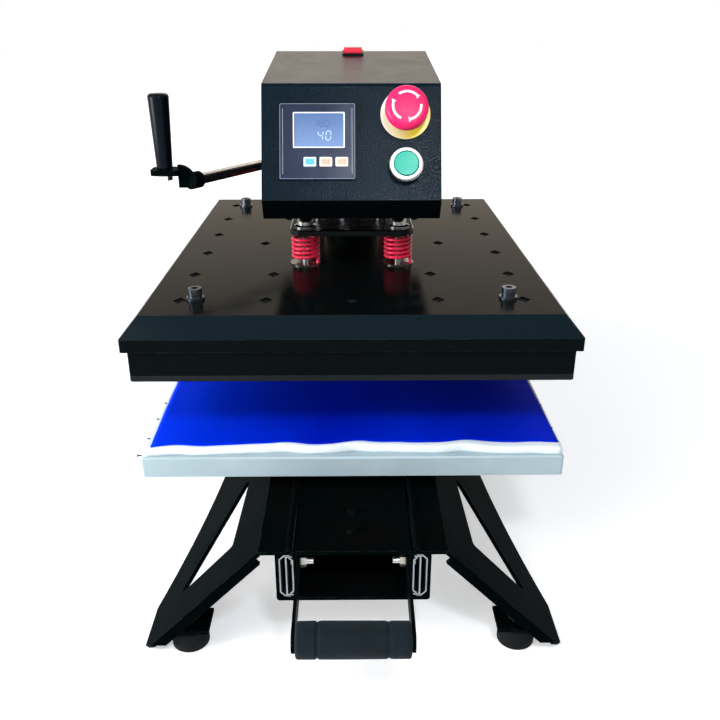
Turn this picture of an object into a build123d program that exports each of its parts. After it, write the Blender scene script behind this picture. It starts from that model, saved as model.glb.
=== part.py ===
from build123d import *
import os
from math import cos, pi, radians, sin, sqrt

# A pneumatic heat press. A head that swings about a rear post presses a heated platen down
# onto a lower platen, and the lower platen pulls out to the front like a drawer.
# Millimetres. The origin is on the floor under the middle of the platens.
# X runs to the right, Y to the back and Z up.

os.makedirs("parts", exist_ok=True)


# Driving dimensions

# Fits
running_fit = 0.05
press_fit = 0.02
screw_play = 0.3
slide_play = 0.4

# Heights of the stack, from the floor up
deck_z = 113.0
riser_channel_height = 13.0
riser_strap_height = 6.5
lower_platen_height = 20.5
pad_height = 8.0
sheet_height = 0.8
daylight = 70.0
press_stroke = 68.0
heater_lip_height = 6.0
heater_step_height = 16.0
head_clearance = 23.9

# Platens
platen_width = 400.0
platen_length = 500.0
platen_edge_radius = 1.5
pad_inset = 1.5
sheet_width = 386.0
sheet_length = 484.0

# Upper platen cover
cover_sheet = 1.6
rim_overhang = 5.0
rim_height = 12.0
bevel_run = 15.0
bevel_drop = 17.5
skirt_height = 35.0
vent_width = 13.0
vent_length = 18.0
vent_pitch = 80.0
side_vent_x = 100.0
insulation_margin = 4.0
screw_head_radius = 6.5
screw_head_height = 8.5
screw_x = 146.0
screw_y = 196.0
screw_radius = 4.0
screw_washer_height = 2.5

# Pressing plate with its sprung bolts
pressing_width = 129.0
pressing_length = 190.0
pressing_height = 6.0
pressing_corner = 15.0
spring_x = 49.0
spring_y = 77.5
spring_turns = 5
spring_outer_radius = 15.0
spring_wire = 3.4
spring_height = 31.9
spring_end_stub = 0.5
spring_washer_height = 1.2
spring_washer_margin = 1.5
dome_nut_height = 12.0
bolt_bite = 12.0

# Piston, guides and cylinder
piston_rod_radius = 10.0
piston_radius = 40.0
piston_height = 20.0
guide_radius = 6.0
guide_x = 33.0
guide_y = 44.0
guide_bush_wall = 3.0
guide_bush_height = 20.0
guide_top_spare = 5.0
cylinder_wall = 4.0
cylinder_cap_height = 12.0
cylinder_cap_radius = 45.0

# Head box, seen from the side
head_half_width = 85.0
head_sheet = 2.0
head_front_y = -143.0
head_rear_y = 79.0
chin_run = 9.0
chin_rise = 19.5
panel_tilt = 23.5
panel_length = 110.35
top_slope = 6.7
head_plate_height = 8.0
head_edge_radius = 5.0

# Items on the panel: x, and the distance up from the panel's lower edge
controller_x = -32.0
controller_up = 55.0
controller_size = 72.0
controller_frame = 3.5
controller_body = 66.0
controller_depth = 58.0
display_x = -30.6
display_up = 65.5
display_width = 47.0
display_length = 32.0
display_depth = 1.2
key_width = 12.0
key_length = 9.0
key_up = 35.4
key_pitch = 15.0
key_proud = 1.6
key_travel = 0.8
switch_x = 51.0
estop_up = 81.0
estop_ring_radius = 23.5
estop_ring_height = 1.6
estop_collar_radius = 14.0
estop_travel = 4.0
estop_rest_gap = 0.5
mushroom_radius = 20.0
mushroom_underside = 14.0
mushroom_hub_drop = 2.0
mushroom_top = 28.0
stem_radius = 8.0
start_up = 31.5
bezel_radius = 15.0
bezel_top = 14.0
start_cap_radius = 11.75
start_travel = 3.5
contact_block_width = 30.0
contact_block_length = 36.0
contact_block_depth = 34.0
switch_barrel_radius = 11.0
switch_barrel_length = 24.0

# Power rocker on the top of the head
rocker_x = 2.0
rocker_y = 58.0
rocker_half_width = 10.0
rocker_half_length = 9.4
rocker_swing = 24.0
rocker_bezel_margin = 2.0
rocker_bezel_height = 2.0
rocker_body_depth = 20.0

# Swing post and hub
column_y = 295.0
column_radius = 35.0
column_wall = 5.0
column_shoulder_z = 318.0
journal_radius = 28.0
journal_height = 92.0
flange_width = 100.0
flange_length = 88.0
flange_height = 8.0
flange_bolt_x = 38.0
flange_bolt_y = 32.0
bush_wall = 4.0
bush_flange = 2.0
bush_height = 25.0
hub_radius = 42.0
hub_roof = 6.0

# Swing arm
arm_width = 70.0
arm_height = 48.0
arm_wall = 4.0
arm_front_y = 55.0
tongue_width = 92.0
tongue_rear_y = 200.0

# Side handle that swings the head
handle_rod_radius = 6.0
handle_rod_rise = 8.0
handle_rod_root_y = 175.0
handle_end_x = -172.0
handle_end_y = -35.0
grip_x = -200.0
grip_length = 77.0
grip_foot_radius = 8.5
grip_top_radius = 11.0
grip_axle_radius = 4.0
bracket_tab_height = 6.0
bracket_web = 6.0

# Base
base_half_length = 341.0
deck_half_width = 82.0
deck_sheet = 3.0
hem_x = 55.5
hem_radius = 2.75
hem_bore = 1.4
channel_half_width = 67.5
channel_wall = 3.0
channel_floor_z = 64.5
floor_window_width = 12.0
floor_window_length = 150.0
floor_window_pitch = 165.0
rear_deck_gap = 15.0

# Legs. A drop is how far a point lies below the deck, which is also how far out it lies.
leg_sheet = 4.0
leg_tip_drop = 109.0
leg_tip_cut = 8.0
leg_heel_y = 283.0
arch_drop = 57.0
window_front_y = 291.0
window_tip_y = 296.0
window_rear_y = 172.0
window_top_drop = 30.0
window_tip_drop = 83.0
window_rear_drop = 26.0
window_radius = 4.0
flange_start = 8.0
flange_depth = 10.0
foot_x = 151.0
foot_y = 322.0
foot_radius = 17.0
foot_top_radius = 14.0
foot_height = 18.0
foot_collar_height = 3.0
foot_tab_sheet = 3.0
foot_tab_length = 32.0
foot_stud_radius = 4.0
foot_nut_height = 5.0

# Drawer slides
slide_height = 45.0
slide_depth = 12.7
slide_length = 500.0
slide_sheet = 1.3
slide_corner = 5.0

# Carriage and its pull handle
carriage_sheet = 3.0
carriage_foot_z = 68.0
carriage_bend = 3.0
arm_strip_height = 20.0
arm_strip = 3.0
handle_bolt_y = (-330.0, -290.0)
handle_bolt_z = 96.0
handle_bolt_radius = 2.9
pull_y = -415.0
pull_z = 85.0
pull_rod_radius = 6.0
pull_grip_radius = 15.0

# Riser under the lower platen
riser_half_width = 42.0
riser_half_length = 190.0
riser_sheet = 3.0
strap_y = 140.0
strap_length = 300.0
strap_width = 40.0
riser_bolt_x = 120.0
riser_bolt_radius = 4.0

riser_screw_x = 25.0
riser_lip = 20.0
bumper_width = 14.0
bumper_depth = 12.0
bumper_height = 26.0

# Bolts, screws and nuts
small_bolt_radius = 3.0
small_head_radius = 5.5
small_nut_radius = 5.0
small_nut_height = 5.0
button_head_height = 2.6
cap_head_height = 4.0
handle_head_radius = 4.5
handle_head_height = 1.6
platen_bolt_head_radius = 6.5
column_bolt_radius = 5.0
column_bolt_head_radius = 8.0
column_bolt_head_height = 6.5
column_nut_height = 8.0
column_bolt_tail = 2.0

# Air service on the back of the head
regulator_x = 60.0
regulator_z = 422.0
regulator_width = 34.0
regulator_height = 36.0
regulator_bracket = 4.0
bowl_radius = 14.0
bowl_height = 34.0
knob_radius = 13.0
knob_height = 24.0
gauge_radius = 19.0
gauge_depth = 14.0
air_port_radius = 5.7
air_port_length = 12.0
inlet_x = -46.0
inlet_z = 446.0


# Heights and places that follow from them
riser_top_z = deck_z + riser_channel_height + riser_strap_height
platen_top_z = riser_top_z + lower_platen_height
pad_top_z = platen_top_z + pad_height
sheet_top_z = pad_top_z + sheet_height
heater_z = sheet_top_z + daylight
heater_step_z = heater_z + heater_lip_height
heater_top_z = heater_step_z + heater_step_height
rim_z = heater_step_z + skirt_height - rim_height + cover_sheet
rim_top_z = rim_z + rim_height
cover_top_z = rim_top_z + bevel_drop
spring_seat_z = cover_top_z + spring_washer_height
pressing_foot_z = spring_seat_z + spring_height
pressing_top_z = pressing_foot_z + pressing_height
head_z = pressing_top_z + head_clearance
head_plate_top_z = head_z + head_plate_height
half_width = platen_width / 2
half_length = platen_length / 2
cover_half_width = half_width + rim_overhang - bevel_run
cover_half_length = half_length + rim_overhang - bevel_run

slide_mid_z = channel_floor_z + (deck_z - deck_sheet - channel_floor_z) / 2
channel_inner = channel_half_width - channel_wall
slide_front_y = -base_half_length + 1
rear_deck_y = slide_front_y + slide_length + rear_deck_gap
carriage_half_width = channel_inner - slide_depth
handle_strip_out = carriage_half_width - carriage_sheet

# The control panel, with its local Y running up the slope, and the sloping top of the head
panel_foot_y = head_front_y - chin_run
panel_foot_z = head_z + chin_rise
panel_rise_y = sin(radians(panel_tilt))
panel_rise_z = cos(radians(panel_tilt))
panel_head_y = panel_foot_y + panel_length * panel_rise_y
panel_head_z = panel_foot_z + panel_length * panel_rise_z
panel = Plane(
    origin=(0, panel_foot_y, panel_foot_z),
    x_dir=(1, 0, 0),
    z_dir=(0, -panel_rise_z, panel_rise_y),
)
top_rise_y = cos(radians(top_slope))
top_rise_z = sin(radians(top_slope))
head_top_length = (head_rear_y - panel_head_y) / top_rise_y
head_rear_top_z = panel_head_z + head_top_length * top_rise_z
head_top = Plane(
    origin=(0, panel_head_y, panel_head_z),
    x_dir=(1, 0, 0),
    z_dir=(0, -top_rise_z, top_rise_y),
)
rocker_up = (rocker_y - panel_head_y) / top_rise_y

spring_places = GridLocations(2 * spring_x, 2 * spring_y, 2, 2)
screw_places = GridLocations(2 * screw_x, 2 * screw_y, 2, 2)
guide_places = GridLocations(2 * guide_x, 2 * guide_y, 2, 2)


def facing_y(y):
    """The XZ plane at this Y. Its normal points to the front."""
    return Plane.XZ.offset(-y)


def side_plane(x, y):
    """An XZ plane whose local Y is the upright line through this X and Y."""
    return Plane(origin=(x, y, 0), x_dir=(1, 0, 0), z_dir=(0, -1, 0))


def dome(edge, edge_height, crown_height):
    """A line of the sketch: the arc from an edge up to the axis, its centre on the axis."""
    rise = crown_height - edge_height
    sphere = (edge * edge + rise * rise) / (2 * rise)
    half = edge / 2
    middle = crown_height - sphere + sqrt(sphere * sphere - half * half)
    ThreePointArc((edge, edge_height), (half, middle), (0, crown_height))


def finish(part, name):
    part.label = name
    export_step(part, "parts/" + name + ".step")


def channel_section(back, mouth, middle_z, half_height, corner, wall):
    """Section of a rolled channel: its web at x=back, its lips reaching to x=mouth."""
    inward = 1 if mouth > back else -1
    outer = [
        (mouth, middle_z - half_height),
        (back + inward * corner, middle_z - half_height),
        (back, middle_z - half_height + corner),
        (back, middle_z + half_height - corner),
        (back + inward * corner, middle_z + half_height),
        (mouth, middle_z + half_height),
    ]
    turn = corner - wall * (2 - sqrt(2))
    inside = half_height - wall
    inner_back = back + inward * wall
    past = mouth + inward * wall
    inner = [
        (past, middle_z - inside),
        (inner_back + inward * turn, middle_z - inside),
        (inner_back, middle_z - inside + turn),
        (inner_back, middle_z + inside - turn),
        (inner_back + inward * turn, middle_z + inside),
        (past, middle_z + inside),
    ]
    Polygon(*outer, align=None)
    Polygon(*inner, align=None, mode=Mode.SUBTRACT)


# Base deck: a folded sheet with a channel for the slides, and rolled hems beside the carriage
with BuildPart() as base_deck:
    with BuildSketch(facing_y(base_half_length)):
        with BuildLine():
            Polyline(
                (hem_x, deck_z - deck_sheet),
                (hem_x, deck_z),
                (deck_half_width, deck_z),
                (deck_half_width - deck_sheet, deck_z - deck_sheet),
                (channel_half_width, deck_z - deck_sheet),
                (channel_half_width, channel_floor_z - channel_wall),
                (0, channel_floor_z - channel_wall),
                (0, channel_floor_z),
                (channel_inner, channel_floor_z),
                (channel_inner, deck_z - deck_sheet),
                close=True,
            )
        make_face()
        with Locations((hem_x, deck_z)):
            Circle(hem_radius)
            Circle(hem_bore, mode=Mode.SUBTRACT)
        mirror(about=Plane.YZ)
    extrude(amount=2 * base_half_length)
    bends = base_deck.edges().filter_by(Axis.Y).group_by(Axis.Z)[0]
    fillet(bends, radius=channel_wall)
    rear_deck_length = base_half_length - rear_deck_y
    with BuildSketch(Plane.XY.offset(deck_z - deck_sheet)):
        with Locations((0, rear_deck_y + rear_deck_length / 2)):
            Rectangle(2 * hem_x, rear_deck_length)
    extrude(amount=deck_sheet)
    window_x = (channel_inner + carriage_half_width) / 2
    with BuildSketch(Plane.XY.offset(channel_floor_z)):
        with GridLocations(2 * window_x, floor_window_pitch, 2, 4):
            SlotOverall(floor_window_length, floor_window_width, rotation=90)
    extrude(amount=-channel_wall, mode=Mode.SUBTRACT)
    with BuildSketch(Plane.XY.offset(deck_z)):
        with Locations((0, column_y)):
            with GridLocations(2 * flange_bolt_x, 2 * flange_bolt_y, 2, 2):
                Circle(column_bolt_radius + screw_play)
    extrude(amount=-deck_sheet, mode=Mode.SUBTRACT)
finish(base_deck.part, "base_deck")


# Leg plates: they slope down at 45 degrees from the deck's edge, with a triangular window in
# each leg, an arch between the legs, turned-in end flanges and welded tabs for the feet
root2 = sqrt(2)
right_slope = Plane(
    origin=(deck_half_width, 0, deck_z),
    x_dir=(0, 1, 0),
    z_dir=(-1, 0, -1),
)


def on_slope(y, drop):
    """A point of a leg plate's sketch, from its Y and its drop below the deck."""
    return (y, drop * root2)


def flange_point(along, deep):
    """A point of an end flange in XZ: along the slope, then square to it under the plate."""
    x = deck_half_width + (along - deep) / root2
    z = deck_z - (along + deep) / root2
    return (x, z)


foot_tab_z = foot_height + foot_collar_height
foot_tab_inner_x = foot_x - foot_radius - 3
foot_tab_outer_x = deck_half_width + deck_z - foot_tab_z - foot_tab_sheet - 3

with BuildPart() as right_leg_plate:
    with BuildSketch(right_slope):
        with BuildLine():
            Polyline(
                on_slope(-leg_heel_y, leg_tip_drop),
                on_slope(-base_half_length + leg_tip_cut, leg_tip_drop),
                on_slope(-base_half_length, leg_tip_drop - leg_tip_cut),
                on_slope(-base_half_length, 0),
                on_slope(base_half_length, 0),
                on_slope(base_half_length, leg_tip_drop - leg_tip_cut),
                on_slope(base_half_length - leg_tip_cut, leg_tip_drop),
                on_slope(leg_heel_y, leg_tip_drop),
            )
            ThreePointArc(
                on_slope(leg_heel_y, leg_tip_drop),
                on_slope(0, arch_drop),
                on_slope(-leg_heel_y, leg_tip_drop),
            )
        make_face()
    extrude(amount=leg_sheet)
    with BuildSketch(right_slope) as windows:
        Polygon(
            on_slope(-window_front_y, window_top_drop),
            on_slope(-window_tip_y, window_tip_drop),
            on_slope(-window_rear_y, window_rear_drop),
            align=None,
        )
        mirror(about=Plane.YZ)
        fillet(windows.vertices(), radius=window_radius)
    extrude(amount=leg_sheet, mode=Mode.SUBTRACT)
    flange_end = leg_tip_drop * root2 - flange_depth
    with BuildSketch(facing_y(-base_half_length)):
        Polygon(
            flange_point(flange_start, 0),
            flange_point(flange_end, 0),
            flange_point(flange_end - flange_depth, flange_depth),
            flange_point(flange_start, flange_depth),
            align=None,
        )
    extrude(amount=-leg_sheet)
    mirror(about=Plane.XZ)
    tab_width = foot_tab_outer_x - foot_tab_inner_x
    with BuildSketch(Plane.XY.offset(foot_tab_z)):
        with Locations((foot_tab_inner_x + tab_width / 2, 0)):
            with GridLocations(1, 2 * foot_y, 1, 2):
                Rectangle(tab_width, foot_tab_length)
        with Locations((foot_x, 0)):
            with GridLocations(1, 2 * foot_y, 1, 2):
                Circle(foot_stud_radius + screw_play, mode=Mode.SUBTRACT)
    extrude(amount=foot_tab_sheet)
finish(right_leg_plate.part, "right_leg_plate")

with BuildPart() as left_leg_plate:
    mirror(right_leg_plate.part, about=Plane.YZ)
finish(left_leg_plate.part, "left_leg_plate")


# Feet: a tapered rubber foot, and a stud with a collar under the tab and a nut over it
foot_places = GridLocations(2 * foot_x, 2 * foot_y, 2, 2)
stud_sink = 8.0
with BuildPart() as rubber_feet:
    for place in foot_places:
        with BuildSketch(side_plane(place.position.X, place.position.Y)):
            with BuildLine():
                Polyline(
                    (0, 0),
                    (foot_radius - 1, 0),
                    (foot_radius, 1),
                    (foot_radius, 6),
                    (foot_top_radius, foot_height - 2),
                    (foot_top_radius - 2, foot_height),
                    (foot_stud_radius + press_fit, foot_height),
                    (foot_stud_radius + press_fit, foot_height - stud_sink),
                    (0, foot_height - stud_sink),
                    close=True,
                )
            make_face()
        revolve(axis=Axis(place.position, (0, 0, 1)))
finish(rubber_feet.part, "rubber_feet")

foot_nut_z = foot_tab_z + foot_tab_sheet
with BuildPart() as foot_studs:
    with BuildSketch(Plane.XY.offset(foot_height - stud_sink)):
        with GridLocations(2 * foot_x, 2 * foot_y, 2, 2):
            Circle(foot_stud_radius)
    extrude(amount=foot_nut_z + foot_nut_height + 2 - foot_height + stud_sink)
    with BuildSketch(Plane.XY.offset(foot_height)):
        with GridLocations(2 * foot_x, 2 * foot_y, 2, 2):
            Circle(9)
    extrude(amount=foot_collar_height)
    with BuildSketch(Plane.XY.offset(foot_nut_z)):
        with GridLocations(2 * foot_x, 2 * foot_y, 2, 2):
            RegularPolygon(radius=6.5, side_count=6, major_radius=False)
    extrude(amount=foot_nut_height)
finish(foot_studs.part, "foot_studs")


# Drawer slides: three nested rolled sections on each side
slide_half_height = slide_height / 2
outer_mouth = channel_inner - slide_depth * 0.75
middle_half_height = slide_half_height - slide_sheet - slide_play
inner_half_height = middle_half_height - slide_sheet - slide_play

with BuildPart() as outer_slides:
    with BuildSketch(facing_y(slide_front_y + slide_length)):
        channel_section(channel_inner, outer_mouth, slide_mid_z, slide_half_height, slide_corner, slide_sheet)
        mirror(about=Plane.YZ)
    extrude(amount=slide_length)
finish(outer_slides.part, "outer_slides")

middle_web_x = channel_inner - slide_depth / 2
middle_flange = slide_depth / 2
middle_flange_x = channel_inner - slide_corner - slide_play - middle_flange / 2
with BuildPart() as middle_slides:
    with BuildSketch(facing_y(slide_front_y + slide_length)):
        with Locations((middle_web_x, slide_mid_z)):
            Rectangle(slide_sheet, 2 * middle_half_height)
        with Locations((middle_flange_x, slide_mid_z)):
            with GridLocations(1, 2 * middle_half_height - slide_sheet, 1, 2):
                Rectangle(middle_flange, slide_sheet)
        mirror(about=Plane.YZ)
    extrude(amount=slide_length)
finish(middle_slides.part, "middle_slides")

inner_mouth = carriage_half_width + slide_depth * 0.3
with BuildPart() as inner_slides:
    with BuildSketch(facing_y(slide_front_y + slide_length)):
        channel_section(carriage_half_width, inner_mouth, slide_mid_z, inner_half_height, 2.5, slide_sheet)
        mirror(about=Plane.YZ)
    extrude(amount=slide_length)
    for y in handle_bolt_y:
        with BuildSketch(Plane.YZ.offset(carriage_half_width + 2)):
            with Locations((y, handle_bolt_z)):
                Circle(handle_bolt_radius + screw_play)
        extrude(amount=-4 - 2 * carriage_half_width, mode=Mode.SUBTRACT)
finish(inner_slides.part, "inner_slides")


# Carriage: a folded channel, open below, between the inner slides
carriage_length = slide_length
carriage_rear_y = slide_front_y + carriage_length
deck_screw_y = (-310.0, -280.0)
riser_screw_y = 165.0
with BuildPart() as carriage:
    with BuildSketch(facing_y(carriage_rear_y)):
        with BuildLine():
            Polyline(
                (0, deck_z),
                (carriage_half_width, deck_z),
                (carriage_half_width, carriage_foot_z),
                (handle_strip_out, carriage_foot_z),
                (handle_strip_out, deck_z - carriage_sheet),
                (0, deck_z - carriage_sheet),
                close=True,
            )
        make_face()
        mirror(about=Plane.YZ)
    extrude(amount=carriage_length)
    shoulders = carriage.edges().filter_by(Axis.Y).group_by(Axis.Z)[-1].sort_by(Axis.X)
    fillet([shoulders[0], shoulders[-1]], radius=carriage_bend)
    for y in handle_bolt_y:
        with BuildSketch(Plane.YZ.offset(carriage_half_width)):
            with Locations((y, handle_bolt_z)):
                Circle(handle_bolt_radius + screw_play)
        extrude(amount=-2 * carriage_half_width, mode=Mode.SUBTRACT)
    with BuildSketch(Plane.XY.offset(deck_z)):
        with Locations(*[(0, y) for y in deck_screw_y]):
            Circle(small_bolt_radius)
        with GridLocations(2 * riser_screw_x, 2 * riser_screw_y, 2, 2):
            Circle(small_bolt_radius + screw_play)
    extrude(amount=-carriage_sheet, mode=Mode.SUBTRACT)
finish(carriage.part, "carriage")

with BuildPart() as drawer_bumpers:
    bumper_y = carriage_rear_y + screw_play
    with BuildSketch(Plane.XY.offset(channel_floor_z)):
        with Locations((0, bumper_y + bumper_depth / 2)):
            with GridLocations(2 * carriage_half_width - bumper_width, 1, 2, 1):
                Rectangle(bumper_width, bumper_depth)
    extrude(amount=bumper_height)
    fillet(drawer_bumpers.edges().group_by(Axis.Z)[-1], radius=2)
finish(drawer_bumpers.part, "drawer_bumpers")


# Riser: a low channel on the carriage with two straps across it, welded as one
with BuildPart() as platen_riser:
    with BuildSketch(facing_y(riser_half_length)):
        with BuildLine():
            Polyline(
                (0, deck_z + riser_channel_height),
                (riser_half_width, deck_z + riser_channel_height),
                (riser_half_width, deck_z),
                (riser_half_width - riser_lip, deck_z),
                (riser_half_width - riser_lip, deck_z + riser_sheet),
                (riser_half_width - riser_sheet, deck_z + riser_sheet),
                (riser_half_width - riser_sheet, deck_z + riser_channel_height - riser_sheet),
                (0, deck_z + riser_channel_height - riser_sheet),
                close=True,
            )
        make_face()
        mirror(about=Plane.YZ)
    extrude(amount=2 * riser_half_length)
    with BuildSketch(Plane.XY.offset(deck_z + riser_channel_height)):
        with GridLocations(1, 2 * strap_y, 1, 2):
            RectangleRounded(strap_length, strap_width, 6)
        with GridLocations(2 * riser_bolt_x, 2 * strap_y, 2, 2):
            Circle(riser_bolt_radius + screw_play, mode=Mode.SUBTRACT)
    extrude(amount=riser_strap_height)
    with BuildSketch(Plane.XY.offset(deck_z + riser_channel_height)):
        with GridLocations(2 * riser_screw_x, 2 * riser_screw_y, 2, 2):
            Circle(7)
    extrude(amount=-riser_sheet, mode=Mode.SUBTRACT)
    with BuildSketch(Plane.XY.offset(deck_z + riser_sheet)):
        with GridLocations(2 * riser_screw_x, 2 * riser_screw_y, 2, 2):
            Circle(small_bolt_radius + screw_play)
    extrude(amount=-riser_sheet, mode=Mode.SUBTRACT)
finish(platen_riser.part, "platen_riser")

# Carriage bolts: button heads on the bare deck, screws that hold the riser, and the bolts
# that come up through its straps into the lower platen
bolt_head_height = 5.3
platen_bolt_bite = 12.0
with BuildPart() as carriage_bolts:
    with BuildSketch(Plane.XY.offset(deck_z - carriage_sheet)):
        with Locations(*[(0, y) for y in deck_screw_y]):
            Circle(small_bolt_radius)
    extrude(amount=carriage_sheet)
    with BuildSketch(Plane.XY.offset(deck_z)):
        with Locations(*[(0, y) for y in deck_screw_y]):
            Circle(small_head_radius)
    extrude(amount=button_head_height, taper=25)
    with BuildSketch(Plane.XY.offset(deck_z - carriage_sheet)):
        with GridLocations(2 * riser_screw_x, 2 * riser_screw_y, 2, 2):
            Circle(small_bolt_radius)
    extrude(amount=carriage_sheet + riser_sheet)
    with BuildSketch(Plane.XY.offset(deck_z + riser_sheet)):
        with GridLocations(2 * riser_screw_x, 2 * riser_screw_y, 2, 2):
            Circle(small_head_radius)
    extrude(amount=cap_head_height)
    with BuildSketch(Plane.XY.offset(deck_z - carriage_sheet)):
        with GridLocations(2 * riser_screw_x, 2 * riser_screw_y, 2, 2):
            RegularPolygon(radius=small_nut_radius, side_count=6, major_radius=False)
    extrude(amount=-small_nut_height)
    with BuildSketch(Plane.XY.offset(deck_z + riser_channel_height)):
        with GridLocations(2 * riser_bolt_x, 2 * strap_y, 2, 2):
            RegularPolygon(radius=platen_bolt_head_radius, side_count=6, major_radius=False)
    extrude(amount=-bolt_head_height)
    with BuildSketch(Plane.XY.offset(deck_z + riser_channel_height)):
        with GridLocations(2 * riser_bolt_x, 2 * strap_y, 2, 2):
            Circle(riser_bolt_radius)
    extrude(amount=riser_strap_height + platen_bolt_bite)
finish(carriage_bolts.part, "carriage_bolts")


# Lower platen with its foam pad and release sheet
with BuildPart() as lower_platen:
    with BuildSketch(Plane.XY.offset(riser_top_z)):
        Rectangle(platen_width, platen_length)
    extrude(amount=lower_platen_height)
    fillet(lower_platen.edges().filter_by(Axis.Z), radius=3)
    chamfer(lower_platen.edges().group_by(Axis.Z)[-1], length=platen_edge_radius)
    with BuildSketch(Plane.XY.offset(riser_top_z)):
        with GridLocations(2 * riser_bolt_x, 2 * strap_y, 2, 2):
            Circle(riser_bolt_radius + press_fit)
    extrude(amount=platen_bolt_bite + 2, mode=Mode.SUBTRACT)
finish(lower_platen.part, "lower_platen")

with BuildPart() as foam_pad:
    with BuildSketch(Plane.XY.offset(platen_top_z)):
        RectangleRounded(platen_width - 2 * pad_inset, platen_length - 2 * pad_inset, 5)
    extrude(amount=pad_height)
finish(foam_pad.part, "foam_pad")

with BuildPart() as blue_sheet:
    with BuildSketch(Plane.XY.offset(pad_top_z)):
        RectangleRounded(sheet_width, sheet_length, 4)
    extrude(amount=sheet_height)
finish(blue_sheet.part, "blue_sheet")


# Pull handle: two flat strips bolted inside the carriage, a rod between them and a foam grip
strip_in = handle_strip_out - arm_strip
strip_rear_y = handle_bolt_y[-1] + arm_strip_height / 2
with BuildPart() as handle_bar:
    with BuildSketch(Plane.YZ.offset(strip_in)):
        with BuildLine():
            Polyline(
                (strip_rear_y, handle_bolt_z + arm_strip_height / 2),
                (handle_bolt_y[0], handle_bolt_z + arm_strip_height / 2),
                (pull_y, pull_z + arm_strip_height / 2),
            )
            ThreePointArc(
                (pull_y, pull_z + arm_strip_height / 2),
                (pull_y - arm_strip_height / 2, pull_z),
                (pull_y, pull_z - arm_strip_height / 2),
            )
            Polyline(
                (pull_y, pull_z - arm_strip_height / 2),
                (handle_bolt_y[0], handle_bolt_z - arm_strip_height / 2),
                (strip_rear_y, handle_bolt_z - arm_strip_height / 2),
                (strip_rear_y, handle_bolt_z + arm_strip_height / 2),
            )
        make_face()
        with Locations(*[(y, handle_bolt_z) for y in handle_bolt_y]):
            Circle(handle_bolt_radius + screw_play, mode=Mode.SUBTRACT)
    extrude(amount=arm_strip)
    mirror(about=Plane.YZ)
    with BuildSketch(Plane.YZ.offset(-strip_in)):
        with Locations((pull_y, pull_z)):
            Circle(pull_rod_radius)
    extrude(amount=2 * strip_in)
finish(handle_bar.part, "handle_bar")

grip_half = strip_in - screw_play
with BuildPart() as handle_grip:
    with BuildSketch(Plane.YZ.offset(-grip_half)):
        with Locations((pull_y, pull_z)):
            Circle(pull_grip_radius)
    extrude(amount=2 * grip_half)
    fillet(handle_grip.edges().filter_by(GeomType.CIRCLE), radius=2)
    with BuildSketch(Plane.YZ.offset(-grip_half)):
        with Locations((pull_y, pull_z)):
            Circle(pull_rod_radius + press_fit)
    extrude(amount=2 * grip_half, mode=Mode.SUBTRACT)
finish(handle_grip.part, "handle_grip")

handle_nut_height = 5.0
handle_bolt_tail = 6.0
with BuildPart() as handle_screws:
    for y in handle_bolt_y:
        with BuildSketch(Plane.YZ.offset(carriage_half_width + slide_sheet)):
            with Locations((y, handle_bolt_z)):
                Circle(handle_head_radius)
        extrude(amount=handle_head_height, taper=15)
        shank = slide_sheet + carriage_sheet + arm_strip + handle_nut_height + handle_bolt_tail
        with BuildSketch(Plane.YZ.offset(carriage_half_width + slide_sheet)):
            with Locations((y, handle_bolt_z)):
                Circle(handle_bolt_radius)
        extrude(amount=-shank)
        with BuildSketch(Plane.YZ.offset(strip_in)):
            with Locations((y, handle_bolt_z)):
                RegularPolygon(radius=small_nut_radius, side_count=6, major_radius=False)
        extrude(amount=-handle_nut_height)
    mirror(about=Plane.YZ)
finish(handle_screws.part, "handle_screws")


# Rear post: a flanged tube, and on its shoulder the journal that the hub turns on
column_foot_z = deck_z + flange_height
journal_top_z = column_shoulder_z + journal_height
plug_depth = 20.0
with BuildPart() as column:
    with BuildSketch(Plane.XY.offset(deck_z)):
        with Locations((0, column_y)):
            RectangleRounded(flange_width, flange_length, 8)
            with GridLocations(2 * flange_bolt_x, 2 * flange_bolt_y, 2, 2):
                Circle(column_bolt_radius + screw_play, mode=Mode.SUBTRACT)
    extrude(amount=flange_height)
    with BuildSketch(Plane.XY.offset(column_foot_z)):
        with Locations((0, column_y)):
            Circle(column_radius)
    extrude(amount=column_shoulder_z - column_foot_z)
    with BuildSketch(Plane.XY.offset(column_foot_z)):
        with Locations((0, column_y)):
            Circle(column_radius - column_wall)
    extrude(amount=column_shoulder_z - plug_depth - column_foot_z, mode=Mode.SUBTRACT)
    with BuildSketch(Plane.XY.offset(column_shoulder_z)):
        with Locations((0, column_y)):
            Circle(journal_radius)
    extrude(amount=journal_height)
    chamfer(column.edges().group_by(Axis.Z)[-1], length=2)
    weld = column.edges().filter_by(GeomType.CIRCLE).filter_by(
        lambda e: abs(e.center().Z - column_foot_z) < 0.1 and abs(e.radius - column_radius) < 0.1
    )
    fillet(weld, radius=4)
finish(column.part, "column")

with BuildPart() as column_bolts:
    with BuildSketch(Plane.XY.offset(column_foot_z)):
        with Locations((0, column_y)):
            with GridLocations(2 * flange_bolt_x, 2 * flange_bolt_y, 2, 2):
                RegularPolygon(radius=column_bolt_head_radius, side_count=6, major_radius=False)
    extrude(amount=column_bolt_head_height)
    with BuildSketch(Plane.XY.offset(column_foot_z)):
        with Locations((0, column_y)):
            with GridLocations(2 * flange_bolt_x, 2 * flange_bolt_y, 2, 2):
                Circle(column_bolt_radius)
    extrude(amount=-flange_height - deck_sheet - column_nut_height - column_bolt_tail)
    with BuildSketch(Plane.XY.offset(deck_z - deck_sheet)):
        with Locations((0, column_y)):
            with GridLocations(2 * flange_bolt_x, 2 * flange_bolt_y, 2, 2):
                RegularPolygon(radius=column_bolt_head_radius, side_count=6, major_radius=False)
    extrude(amount=-column_nut_height)
finish(column_bolts.part, "column_bolts")


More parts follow.
